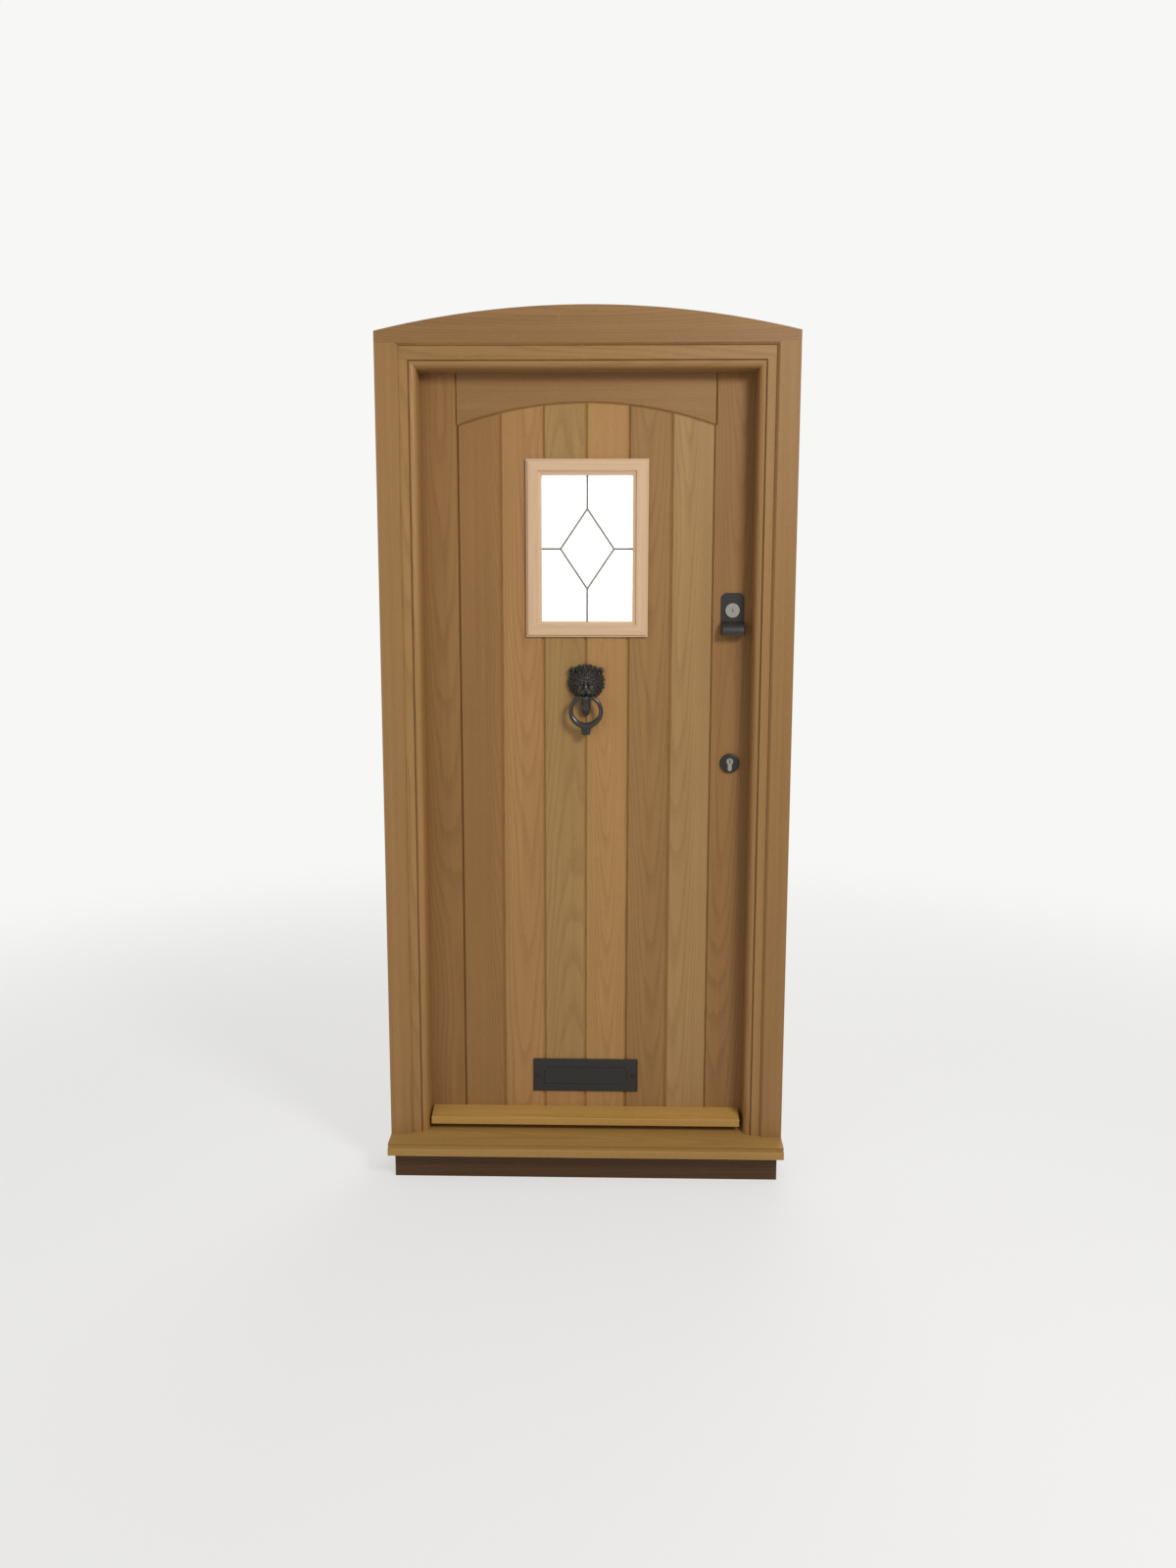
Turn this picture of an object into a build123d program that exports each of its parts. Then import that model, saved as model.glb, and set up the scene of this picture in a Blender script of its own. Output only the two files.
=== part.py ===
"""Oak cottage front door in its frame, in millimetres.

The frame's front face is y = 0 and the outside is towards -Y. The middle of the doorway is x = 0, and z = 0 is
the underside of the board that the sill stands on. The leaf hangs on its left edge and opens inwards, to +Y.
"""

from build123d import *
import math
import os

# Doorway and frame
OPENING_WIDTH = 814.0
SOFFIT_Z = 2012.0
JAMB_WIDTH = 96.0
FRAME_DEPTH = 110.0
REBATE_DEPTH = 50.0
REBATE = 15.0
OVOLO_RADIUS = 15.0
OVOLO_SETBACK = 1.5
QUIRK_WIDTH = 4.0
QUIRK_DEPTH = 5.0
STRIP_WIDTH = 55.0
STRIP_THICKNESS = 8.0
STRIP_CHAMFER = 5.0
ARCH_BOARD_DROP = 32.0
ARCH_APEX_Z = 2153.0
ARCH_RISE = 58.0
FRAME_TENON = (36.0, 20.0, 38.0)

# Sill and the board under it
SILL_TOP_Z = 111.0
SILL_FALL = 0.1
SILL_BED_Z = 70.0
NOSE_PROJECTION = 65.0
NOSE_HEIGHT = 20.0
NOSE_RADIUS = 3.0
SILL_QUIRK_SETBACK = 8.0
SILL_QUIRK_OVERHANG = 4.0
SILL_QUIRK_HEIGHT = 4.5
RISER_SETBACK = 35.0
RISER_INSET = 13.0

# Leaf
LEAF_GAP = 3.0
LEAF_THICKNESS = 44.0
SEAL_GAP = 3.0
HINGE_STILE_WIDTH = 101.0
LOCK_STILE_WIDTH = 108.0
BOARD_COUNT = 6
BOARD_THICKNESS = 20.0
V_DEPTH = 5.0
TONGUE_THICKNESS = 6.0
TONGUE_LENGTH = 7.0
TONGUE_SLACK = 1.0
TOP_RAIL_CROWN = 80.0
TOP_RAIL_RISE = 54.0
TOP_RAIL_CHAMFER = 3.0
MIDDLE_RAIL_Z = (820.0, 990.0)
BOTTOM_RAIL_HEIGHT = 220.0
RAIL_TENON_THICKNESS = 14.0
RAIL_TENON_LENGTH = 60.0
RAIL_TENON_SHOULDER = 20.0

# Weatherboard across the foot of the leaf
WEATHERBOARD_TOP_Z = 153.8
WEATHERBOARD_FOOT_Z = 121.8
WEATHERBOARD_PROJECTION = 51.0
WEATHERBOARD_NOSE = 19.5
WEATHERBOARD_HINGE_GAP = 6.0
WEATHERBOARD_LOCK_GAP = 10.0
DRIP_WIDTH = 6.0
DRIP_DEPTH = 4.0
DRIP_SETBACK = 10.0

# Window
SIGHT_WIDTH = 224.0
SIGHT_HEIGHT = 354.0
WINDOW_Z = 1595.5
BEAD_WIDTH = 38.0
BEAD_PROUD = 12.0
BEAD_EDGE = 5.0
BEAD_INNER_EDGE = 8.0
GLASS_EDGE_COVER = 7.0
LINING_THICKNESS = 8.0
LINING_FLANGE = 30.0
PANE_THICKNESS = 4.0
PANE_GAP = 16.0
OUTER_PANE_INSET = 8.0
LEAD_WIDTH = 5.0
LEAD_THICKNESS = 1.5
DIAMOND_HALF_WIDTH = 66.0
DIAMOND_HALF_HEIGHT = 97.0

# Weather seal
SEAL_GROOVE_WIDTH = 3.0
SEAL_GROOVE_DEPTH = 6.0
SEAL_BULB_WIDTH = 7.0
SEAL_CLEARANCE = 0.3

# Butt hinges
HINGE_HEIGHT = 102.0
HINGE_CENTRES_Z = (320.0, 1060.0, 1800.0)
HINGE_PLATE = 3.0
HINGE_PLATE_DEPTH = 32.0
KNUCKLE_RADIUS = 6.5
KNUCKLES = 5
KNUCKLE_GAP = 0.2
PIN_RADIUS = 3.0
PIN_HEAD = 3.0
RUNNING_CLEARANCE = 0.05
SCREW_HEAD_RADIUS = 4.0
SCREW_HEAD_HEIGHT = 2.2
SCREW_RADIUS = 2.0
SCREW_LENGTH = 28.0
HINGE_SCREWS = ((-38.0, 9.0), (0.0, 22.0), (38.0, 9.0))

# Locks
BACKSET = 59.5
LATCH_Z = 1446.0
LATCH_CASE = (92.0, 31.0, 66.0)
LATCH_CASE_EDGE = 4.0
LATCH_PLATE = 2.0
LATCH_BOLT = (36.0, 13.0, 27.0)
LATCH_THROW = 14.0
SLIDE_CLEARANCE = 0.25
KEEP_WALL = 3.0
KEEP_HEIGHT = 56.0
KEEP_LENGTH = 24.0
KEEP_GAP = 2.5
KEEP_FLANGE = 14.0
KNOB_RADIUS = 15.0
KNOB_LENGTH = 22.0
SPINDLE_RADIUS = 4.0
SPINDLE_LENGTH = 14.0
SNIB_SIZE = (8.0, 7.0, 10.0)
SNIB_TRAVEL = 8.0
SNIB_DROP = 22.0
RIM_CYLINDER_RADIUS = 15.5
RIM_FLANGE_RADIUS = 17.5
RIM_FLANGE = 3.0
RIM_BACK_GAP = 9.0
PLUG_RADIUS = 6.5
TAIL_BAR = (8.0, 2.0)
TAIL_HOLE_RADIUS = 6.0
TAIL_REACH = 12.0
RIM_SCREW_OFFSET = 10.5
RIM_SCREW_RADIUS = 2.0
PULL_WIDTH = 56.0
PULL_TOP_Z = 1489.0
PULL_HEIGHT = 103.0
PULL_THICKNESS = 3.0
PULL_LIP = 27.0
PULL_LIP_HEIGHT = 7.0
PULL_HOOD_HEIGHT = 33.0
PULL_WALL = 4.0
PULL_CORNER = 14.0
LOCK_Z = 1070.5
LOCK_CASE = (80.0, 15.0, 120.0)
LOCK_CASE_RISE = 10.0
FOREND = (3.0, 20.0, 170.0)
DEAD_BOLT = (52.0, 11.0, 26.0)
DEAD_BOLT_RISE = 36.0
DEAD_THROW = 20.0
PROFILE_RADIUS = 8.5
PROFILE_WIDTH = 10.0
PROFILE_HEIGHT = 33.0
CYLINDER_PROUD = 8.5
CAM_WIDTH = 10.0
CAM_RADIUS = 15.0
CAM_TOOTH = 8.0
KEYWAY = (2.2, 8.0, 18.0)
TURN_SIZE = (11.0, 16.0, 26.0)
TURN_COLLAR = 3.0
ESCUTCHEON_RADIUS = 24.0
ESCUTCHEON_THICKNESS = 8.0
ESCUTCHEON_EDGE = 4.0
ESCUTCHEON_DROP = 5.0
STRIKE_PLATE = (3.0, 24.0, 90.0)
STRIKE_POCKET_SPARE = 6.0

# Letter plate
LETTER_Z = 240.0
LETTER_X = -2.0
LETTER_SIZE = (272.0, 86.5)
LETTER_THICKNESS = 7.0
LETTER_BEVEL = 2.5
FLAP_SIZE = (214.0, 44.0)
FLAP_THICKNESS = 3.5
FLAP_GAP = 0.8
FLAP_PIN_RADIUS = 1.6
FLAP_PIN_REACH = 6.0
SLOT_MARGIN = 4.0
SLOT_LAP = 4.0
SLOT_COVER = 25.0
LETTER_BOLT_INSET = 11.0
LETTER_BOLT_RADIUS = 3.0
BOLT_HEAD_RADIUS = 5.5
BOLT_HEAD_HEIGHT = 3.0
NUT_RADIUS = 6.5
NUT_HEIGHT = 6.0

# Lion-head knocker
KNOCKER_X = -2.0
KNOCKER_DROP = 113.5
MANE_BACK_RADIUS = 42.0
MANE_FRONT_RADIUS = 29.4
MANE_BACK_HEIGHT = 20.0
SKULL = (24.0, 17.0, 0.0, 1.0, 33.0)
BROW = (8.0, 5.0, 12.0, 7.0, 37.0)
EYE = (5.0, 3.2, 10.5, -5.0, 35.5)
CHEEK = (11.5, 7.0, 15.0, -14.0, 31.0)
EAR = (9.5, 6.5, 35.0, 29.5, 20.0)
BRIDGE = (8.0, 36.0, -14.0, 13.0)
MUZZLE_TIP_RADIUS = 6.0
MUZZLE_SPREAD = 5.5
MUZZLE_PROUD = 36.0
NOSE = (6.5, 4.3, 7.5, 41.0)
OUTER_CURL_COUNT = 16
OUTER_CURLS = (38.5, 9.0, 13.0)
MIDDLE_CURL_COUNT = 12
MIDDLE_CURLS = (29.0, 8.5, 23.0)
CROWN_CURL_COUNT = 8
CROWN_CURLS = (20.0, 8.0, 31.0)
CURL_TAPER = 0.5
TIP_ROUNDING = 2.0
MUZZLE_RADIUS = 9.5
JAW_RADIUS = 7.0
JAW_GAP = 1.0
JAW_INSET = 1.0
BEARD_TIP_RADIUS = 6.0
BEARD_LENGTH = 44.0
BEARD_CORNER = 4.8
BEARD_EDGE = 3.6
BEARD_PROUD = 17.0
KNOCKER_BOLT_DEPTH = 14.0
RING_DROP = 70.5
RING_OUTER_RADIUS = 43.0
RING_BAR_RADIUS = 5.0
RING_FOOT_RADIUS = 7.6
RING_FOOT_ANGLE = 50.0
RING_FOOT_TAPER = 15.0
RING_EYE_RADIUS = 5.6
RING_PROUD = 28.0
CROSSBAR_HALF = 17.0
CROSSBAR_RADIUS = 3.0
STRIKER_DROP = 15.5
STRIKER_FLUTE_RADIUS = 4.8
STRIKER_FLUTES = 3
STRIKER_FLUTE_PITCH = 7.92
STUD_RADIUS = 8.0
STUD_PIN_RADIUS = 2.0
STUD_CLEARANCE = 0.3
KNOCKER_BOLT_RADIUS = 4.0

# Fixings through the jambs into the wall
FIXING_RADIUS = 4.0
FIXING_SETBACK = 25.0
FIXING_PAIRS_Z = ((180.0, 1920.0), (700.0, 1300.0))

# Places worked out from the sizes above
HALF_OPENING = OPENING_WIDTH / 2
STOP_Y = FRAME_DEPTH - REBATE_DEPTH
FIXING_Y = FRAME_DEPTH - FIXING_SETBACK
HALF_FRAME = HALF_OPENING + JAMB_WIDTH
REBATE_X = HALF_OPENING + REBATE
LEAF_FACE_Y = STOP_Y + SEAL_GAP
LEAF_BACK_Y = LEAF_FACE_Y + LEAF_THICKNESS
LEAF_EDGE_X = REBATE_X - LEAF_GAP
LEAF_TOP_Z = SOFFIT_Z + REBATE - LEAF_GAP
LEAF_FOOT_Z = SILL_TOP_Z - REBATE + LEAF_GAP
BOARDS_LEFT = -LEAF_EDGE_X + HINGE_STILE_WIDTH
BOARDS_RIGHT = LEAF_EDGE_X - LOCK_STILE_WIDTH
BOARD_PITCH = (BOARDS_RIGHT - BOARDS_LEFT) / BOARD_COUNT
BOARDS_MIDDLE = (BOARDS_LEFT + BOARDS_RIGHT) / 2
# The letter slot clears the flap and reaches past the joints of both middle boards.
JOINTS_X = max(LETTER_X - BOARDS_MIDDLE, BOARDS_MIDDLE - LETTER_X) + BOARD_PITCH + SLOT_LAP
SLOT_HALF = max(FLAP_SIZE[0] / 2 + SLOT_MARGIN, JOINTS_X)
PLATE_HALF = max(LETTER_SIZE[0] / 2, SLOT_HALF + SLOT_COVER)
LETTER_BOLT_X = PLATE_HALF - LETTER_BOLT_INSET
BOARD_BACK_Y = LEAF_FACE_Y + BOARD_THICKNESS
TONGUE_Y = LEAF_FACE_Y + (BOARD_THICKNESS - TONGUE_THICKNESS) / 2
ARCH_CROWN_Z = LEAF_TOP_Z - TOP_RAIL_CROWN
SPRING_Z = ARCH_CROWN_Z - TOP_RAIL_RISE
LOCK_X = LEAF_EDGE_X - BACKSET
LEAF_MID_Y = (LEAF_FACE_Y + LEAF_BACK_Y) / 2
ARCH_BOARD_Z = SOFFIT_Z + OVOLO_RADIUS + QUIRK_WIDTH + ARCH_BOARD_DROP
PIN_X = -(REBATE_X + LEAF_EDGE_X) / 2
PIN_Y = FRAME_DEPTH + KNUCKLE_RADIUS + 0.5
KNOCKER_Z = WINDOW_Z - SIGHT_HEIGHT / 2 - BEAD_WIDTH - KNOCKER_DROP
RING_CENTRE_Z = KNOCKER_Z - RING_DROP
CROSSBAR_RISE = math.sqrt((RING_OUTER_RADIUS - RING_BAR_RADIUS) ** 2 - CROSSBAR_HALF**2)
GLASS_X = SIGHT_WIDTH / 2 + GLASS_EDGE_COVER
GLASS_Z = SIGHT_HEIGHT / 2 + GLASS_EDGE_COVER
GLASS_Y = LEAF_FACE_Y + OUTER_PANE_INSET
FAR = 3000.0


def box(x, y, z):
    """A block between pairs of limits."""
    size = [high - low for low, high in (x, y, z)]
    centre = [(low + high) / 2 for low, high in (x, y, z)]
    return Pos(*centre) * Box(*size)


def along_x(outline, low, high):
    """Carries an outline drawn as (y, z) from x = low to x = high."""
    return extrude(Plane.YZ.offset(low) * outline, high - low)


def along_y(outline, low, high):
    """Carries an outline drawn as (x, z) from y = low to y = high."""
    return extrude(Plane.XZ.offset(-high) * outline, high - low)


def along_z(outline, low, high):
    """Carries an outline drawn as (x, y) from z = low to z = high."""
    return extrude(Plane.XY.offset(low) * outline, high - low)


def shape(*points):
    """A flat outline with straight sides."""
    return make_face(Polyline(*points, close=True))


def rod_x(radius, low, high, y, z):
    return along_x(Pos(y, z) * Circle(radius), low, high)


def rod_y(radius, low, high, x, z):
    return along_y(Pos(x, z) * Circle(radius), low, high)


def right_to_left(part):
    return mirror(part, Plane.YZ)


def write(name, *solids):
    """Writes one node: a single solid, or a group of separate ones."""
    if len(solids) == 1 and isinstance(solids[0], Solid):
        whole = solids[0]
    else:
        pieces = [piece for item in solids for piece in item.solids()]
        whole = pieces[0] if len(pieces) == 1 else Compound(children=pieces)
    whole.label = name
    export_step(whole, f"parts/{name}.step")


def wood_screw(end, direction):
    """Countersunk screw with its head's face at a point, driven along a direction, and the hole that it cuts."""
    place = Plane(origin=end, z_dir=direction).location
    seat = place * Pos(0, 0, SCREW_HEAD_HEIGHT / 2)
    head = seat * Cone(SCREW_HEAD_RADIUS, SCREW_RADIUS, SCREW_HEAD_HEIGHT)
    shank = place * Pos(0, 0, SCREW_LENGTH / 2) * Cylinder(SCREW_RADIUS, SCREW_LENGTH)
    wider = RUNNING_CLEARANCE
    sink = seat * Cone(SCREW_HEAD_RADIUS + wider, SCREW_RADIUS + wider, SCREW_HEAD_HEIGHT)
    bore = place * Pos(0, 0, SCREW_LENGTH / 2) * Cylinder(SCREW_RADIUS + wider, SCREW_LENGTH + 2 * wider)
    return head + shank, sink + bore


# Frame
def moulded_edge(depth_first):
    """Outline of a frame member from its stop to its front face: reveal, ovolo, quirk and face.

    The first number of each point is the distance from the doorway's edge and the second is y, or the other
    way round when depth_first is set.
    """
    ovolo_end = OVOLO_RADIUS
    quirk_end = OVOLO_RADIUS + QUIRK_WIDTH
    slope = OVOLO_RADIUS * (1 - math.sqrt(0.5))
    turn = (lambda p: (p[1], p[0])) if depth_first else (lambda p: p)
    points = {
        "stop": (0, STOP_Y),
        "reveal": (0, OVOLO_SETBACK + OVOLO_RADIUS),
        "middle": (slope, OVOLO_SETBACK + slope),
        "crest": (ovolo_end, OVOLO_SETBACK),
        "quirk_in": (ovolo_end, QUIRK_DEPTH),
        "quirk_out": (quirk_end, QUIRK_DEPTH),
        "face": (quirk_end, 0),
        "face_end": (JAMB_WIDTH, 0),
        "back_end": (JAMB_WIDTH, FRAME_DEPTH),
        "rebate_back": (REBATE, FRAME_DEPTH),
        "rebate_stop": (REBATE, STOP_Y),
    }
    at = {name: turn(point) for name, point in points.items()}
    return make_face(
        Line(at["stop"], at["reveal"])
        + ThreePointArc(at["reveal"], at["middle"], at["crest"])
        + Polyline(
            at["crest"], at["quirk_in"], at["quirk_out"], at["face"], at["face_end"],
            at["back_end"], at["rebate_back"], at["rebate_stop"], at["stop"],
        )
    )


def sill_outline():
    """Section of the sill: rebate, weathered top, quirk, nosing and drip."""
    front = -NOSE_PROJECTION
    quirk_y = front + SILL_QUIRK_SETBACK
    lip_y = quirk_y - SILL_QUIRK_OVERHANG
    lip_z = SILL_TOP_Z - (STOP_Y - lip_y) * SILL_FALL
    nose_z = SILL_BED_Z + NOSE_HEIGHT
    drip = front + DRIP_SETBACK
    return make_face(
        Polyline(
            (front + NOSE_RADIUS, nose_z), (quirk_y, nose_z), (quirk_y, nose_z + SILL_QUIRK_HEIGHT),
            (lip_y, lip_z), (STOP_Y, SILL_TOP_Z), (STOP_Y, SILL_TOP_Z - REBATE),
            (FRAME_DEPTH, SILL_TOP_Z - REBATE), (FRAME_DEPTH, SILL_BED_Z),
            (drip + DRIP_WIDTH, SILL_BED_Z), (drip + DRIP_WIDTH, SILL_BED_Z + DRIP_DEPTH),
            (drip, SILL_BED_Z + DRIP_DEPTH), (drip, SILL_BED_Z), (front, SILL_BED_Z),
            (front, nose_z - NOSE_RADIUS),
        )
        + RadiusArc((front, nose_z - NOSE_RADIUS), (front + NOSE_RADIUS, nose_z), NOSE_RADIUS)
    )


def arched_top(low):
    """Everything above z = low and under the arch that the head is cut to, as (x, z)."""
    spring = ARCH_APEX_Z - ARCH_RISE
    return make_face(
        Polyline((HALF_FRAME, spring), (HALF_FRAME, low), (-HALF_FRAME, low), (-HALF_FRAME, spring))
        + ThreePointArc((-HALF_FRAME, spring), (0, ARCH_APEX_Z), (HALF_FRAME, spring))
    )


def mitred_post(edge, width, height):
    """The region right of the doorway that a post keeps where its moulding is mitred into the head's."""
    return shape(
        (edge, height), (edge + width, height + width), (HALF_FRAME, height + width),
        (HALF_FRAME, 0), (edge, 0),
    )


MOULDING_WIDTH = OVOLO_RADIUS + QUIRK_WIDTH
POST_REGION = mitred_post(HALF_OPENING, MOULDING_WIDTH, SOFFIT_Z)
STRIP_X = HALF_FRAME - STRIP_WIDTH
STRIP_REGION = mitred_post(STRIP_X, STRIP_CHAMFER, ARCH_BOARD_Z)


def tenon_at(low, high):
    """A frame tenon in the middle of the right jamb."""
    width, thickness, _ = FRAME_TENON
    x = HALF_OPENING + MOULDING_WIDTH + 6
    y = STOP_Y / 2
    return box((x, x + width), (y, y + thickness), (low, high))


def frame_bodies():
    """Jambs, head and sill before their recesses are cut."""
    sill = along_x(sill_outline(), -HALF_FRAME, HALF_FRAME)
    jamb = along_z(Pos(HALF_OPENING, 0) * moulded_edge(False), SILL_BED_Z + NOSE_HEIGHT, FAR)
    jamb = jamb & along_y(POST_REGION, -FAR, FAR)
    jamb = jamb - sill
    head = along_x(Pos(0, SOFFIT_Z) * moulded_edge(True), -HALF_FRAME, HALF_FRAME)
    head = head + box((-HALF_FRAME, HALF_FRAME), (0, FRAME_DEPTH), (SOFFIT_Z + JAMB_WIDTH, FAR))
    head = head & along_y(arched_top(SOFFIT_Z), -FAR, FAR)
    for post in (POST_REGION, mirror(POST_REGION, Plane.YZ)):
        head = head - along_y(post, -FAR, FAR)
    foot = tenon_at(SILL_TOP_Z - FRAME_TENON[2], SILL_TOP_Z)
    top = tenon_at(SOFFIT_Z, SOFFIT_Z + MOULDING_WIDTH + FRAME_TENON[2])
    jamb = jamb + foot + top
    for tenon in (foot, right_to_left(foot)):
        sill = sill - tenon
    for tenon in (top, right_to_left(top)):
        head = head - tenon
    for pair in FIXING_PAIRS_Z:
        for height in pair:
            jamb = jamb - rod_x(FIXING_RADIUS, REBATE_X - 1, HALF_FRAME + 1, FIXING_Y, height)
    return jamb, head, sill


def planted_boards(sill):
    """Raised strips on the jambs and the arch-topped board on the head."""
    strip_outline = shape(
        (STRIP_X, 0), (STRIP_X, STRIP_CHAMFER - STRIP_THICKNESS), (STRIP_X + STRIP_CHAMFER, -STRIP_THICKNESS),
        (HALF_FRAME, -STRIP_THICKNESS), (HALF_FRAME, 0),
    )
    strip = along_z(strip_outline, SILL_BED_Z + NOSE_HEIGHT, FAR) & along_y(STRIP_REGION, -FAR, FAR)
    strip = strip - sill
    board_outline = shape(
        (0, ARCH_BOARD_Z), (STRIP_CHAMFER - STRIP_THICKNESS, ARCH_BOARD_Z),
        (-STRIP_THICKNESS, ARCH_BOARD_Z + STRIP_CHAMFER), (-STRIP_THICKNESS, FAR), (0, FAR),
    )
    board = along_x(board_outline, -HALF_FRAME, HALF_FRAME) & along_y(arched_top(ARCH_BOARD_Z), -FAR, FAR)
    for region in (STRIP_REGION, mirror(STRIP_REGION, Plane.YZ)):
        board = board - along_y(region, -FAR, FAR)
    return strip, board


def seal_solids(wider):
    """Weather seal in the stop on all four sides, or the grooves that hold it when wider is not 0."""
    middle = REBATE / 2 - LEAF_GAP / 2
    half = SEAL_GROOVE_WIDTH / 2
    front = STOP_Y - SEAL_GROOVE_DEPTH - wider
    x_in = HALF_OPENING + middle - half - wider
    x_out = HALF_OPENING + middle + half + wider
    top_in = SOFFIT_Z + middle - half - wider
    top_out = SOFFIT_Z + middle + half + wider
    foot_in = SILL_TOP_Z - middle + half + wider
    foot_out = SILL_TOP_Z - middle - half - wider
    back = STOP_Y
    right = box((x_in, x_out), (front, back), (foot_out, top_out))
    top = box((-x_in, x_in), (front, back), (top_in, top_out))
    foot = box((-x_in, x_in), (front, back), (foot_out, foot_in))
    stems = [right, right_to_left(right), top, foot]
    if wider:
        return stems
    bulb = (SEAL_BULB_WIDTH - SEAL_GROOVE_WIDTH) / 2
    tip = LEAF_FACE_Y - SEAL_CLEARANCE
    right_bulb = box((x_in - bulb, x_out + bulb), (back, tip), (foot_out - bulb, top_out + bulb))
    top_bulb = box((-x_in + bulb, x_in - bulb), (back, tip), (top_in - bulb, top_out + bulb))
    foot_bulb = box((-x_in + bulb, x_in - bulb), (back, tip), (foot_out - bulb, foot_in + bulb))
    bulbs = [right_bulb, right_to_left(right_bulb), top_bulb, foot_bulb]
    return [stem + bulb_solid for stem, bulb_solid in zip(stems, bulbs)]


# Hinges
def hinge_set():
    """Frame leaves, door leaves, pins, their screws and the recesses that they need."""
    frame_leaves, door_leaves, pins = [], [], []
    frame_screws, door_screws, frame_cuts, door_cuts = [], [], [], []
    knuckle = HINGE_HEIGHT / KNUCKLES
    barrel = Pos(PIN_X, PIN_Y) * Circle(KNUCKLE_RADIUS)
    bore = Pos(PIN_X, PIN_Y) * Circle(PIN_RADIUS)
    frame_plate_x = (-REBATE_X - HINGE_PLATE, -REBATE_X)
    door_plate_x = (-LEAF_EDGE_X, -LEAF_EDGE_X + HINGE_PLATE)
    for middle in HINGE_CENTRES_Z:
        low, high = middle - HINGE_HEIGHT / 2, middle + HINGE_HEIGHT / 2
        frame_depth = (LEAF_BACK_Y - HINGE_PLATE_DEPTH, FRAME_DEPTH)
        door_depth = (LEAF_BACK_Y - HINGE_PLATE_DEPTH, LEAF_BACK_Y)
        frame_leaf = box(frame_plate_x, frame_depth, (low, high))
        door_leaf = box(door_plate_x, door_depth, (low, high))
        frame_cuts.append(frame_leaf)
        door_cuts.append(door_leaf)
        for number in range(KNUCKLES):
            start = low + number * knuckle + KNUCKLE_GAP / 2
            end = start + knuckle - KNUCKLE_GAP
            turned = along_z(barrel, start, end)
            if number % 2 == 0:
                frame_leaf = frame_leaf + box(frame_plate_x, (frame_depth[1], PIN_Y), (start, end)) + turned
            else:
                door_leaf = door_leaf + box(door_plate_x, (door_depth[1], PIN_Y), (start, end)) + turned
        hole = along_z(bore, low - 1, high + 1)
        frame_leaf, door_leaf = frame_leaf - hole, door_leaf - hole
        for offset, depth in HINGE_SCREWS:
            y = frame_depth[0] + depth
            screw, cut = wood_screw((frame_plate_x[1], y, middle + offset), (-1, 0, 0))
            frame_leaf = frame_leaf - cut
            frame_cuts.append(cut)
            frame_screws.append(screw)
            screw, cut = wood_screw((door_plate_x[0], y, middle + offset), (1, 0, 0))
            door_leaf = door_leaf - cut
            door_cuts.append(cut)
            door_screws.append(screw)
        pin_radius = PIN_RADIUS - RUNNING_CLEARANCE
        pin = along_z(Pos(PIN_X, PIN_Y) * Circle(pin_radius), low, high + PIN_HEAD)
        pin = pin + along_z(Pos(PIN_X, PIN_Y) * Circle(KNUCKLE_RADIUS - 1.5), high, high + PIN_HEAD)
        pins.append(pin)
        frame_leaves.append(frame_leaf)
        door_leaves.append(door_leaf)
    return frame_leaves, door_leaves, pins, frame_screws, door_screws, frame_cuts, door_cuts


# Leaf
def under_arch(lift, low, left, right):
    """Everything between two x limits, above z = low and under the top rail's arch moved up by lift."""
    half = (BOARDS_RIGHT - BOARDS_LEFT) / 2
    middle = (BOARDS_LEFT + BOARDS_RIGHT) / 2
    radius = (half**2 + TOP_RAIL_RISE**2) / (2 * TOP_RAIL_RISE)
    centre_z = ARCH_CROWN_Z + lift - radius
    disc = Pos(middle, centre_z) * Circle(radius)
    below = Pos(middle, centre_z - FAR / 2) * Rectangle(2 * radius, FAR)
    band = Pos((left + right) / 2, low + FAR / 2) * Rectangle(right - left, FAR)
    return (disc + below) & band


def board_outline(number):
    """Section of one board as (x, y): V edges in front, a tongue on the right, a groove or tongue on the left."""
    left = BOARDS_LEFT + number * BOARD_PITCH
    right = left + BOARD_PITCH
    near, far = TONGUE_Y, TONGUE_Y + TONGUE_THICKNESS
    step = -TONGUE_LENGTH if number == 0 else TONGUE_LENGTH + TONGUE_SLACK
    return shape(
        (left + V_DEPTH, LEAF_FACE_Y), (right - V_DEPTH, LEAF_FACE_Y), (right, LEAF_FACE_Y + V_DEPTH),
        (right, near), (right + TONGUE_LENGTH, near), (right + TONGUE_LENGTH, far), (right, far),
        (right, BOARD_BACK_Y), (left, BOARD_BACK_Y), (left, far), (left + step, far), (left + step, near),
        (left, near), (left, LEAF_FACE_Y + V_DEPTH),
    )


def panel_sheet():
    """The whole sheet of boards with its arched top chamfered in front and tongued into the rail."""
    left, right = BOARDS_LEFT - TONGUE_LENGTH, BOARDS_RIGHT + TONGUE_LENGTH
    sheet = along_y(under_arch(0, LEAF_FOOT_Z, left, right), LEAF_FACE_Y, BOARD_BACK_Y)
    front_arch = sheet.edges().filter_by(GeomType.CIRCLE).sort_by(Axis.Y)[0]
    sheet = chamfer(front_arch, V_DEPTH - 1)
    tongue = along_y(
        under_arch(TONGUE_LENGTH, LEAF_FOOT_Z, left, right), TONGUE_Y, TONGUE_Y + TONGUE_THICKNESS
    )
    return sheet + tongue


def rail_with_tenons(low, high, front, back, tenon_y):
    """A rail between the stiles, with a tenon at each end."""
    rail = box((BOARDS_LEFT, BOARDS_RIGHT), (front, back), (low, high))
    tenon_z = (low + RAIL_TENON_SHOULDER, high - RAIL_TENON_SHOULDER)
    return rail, rail_tenons(tenon_y, tenon_z)


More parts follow.
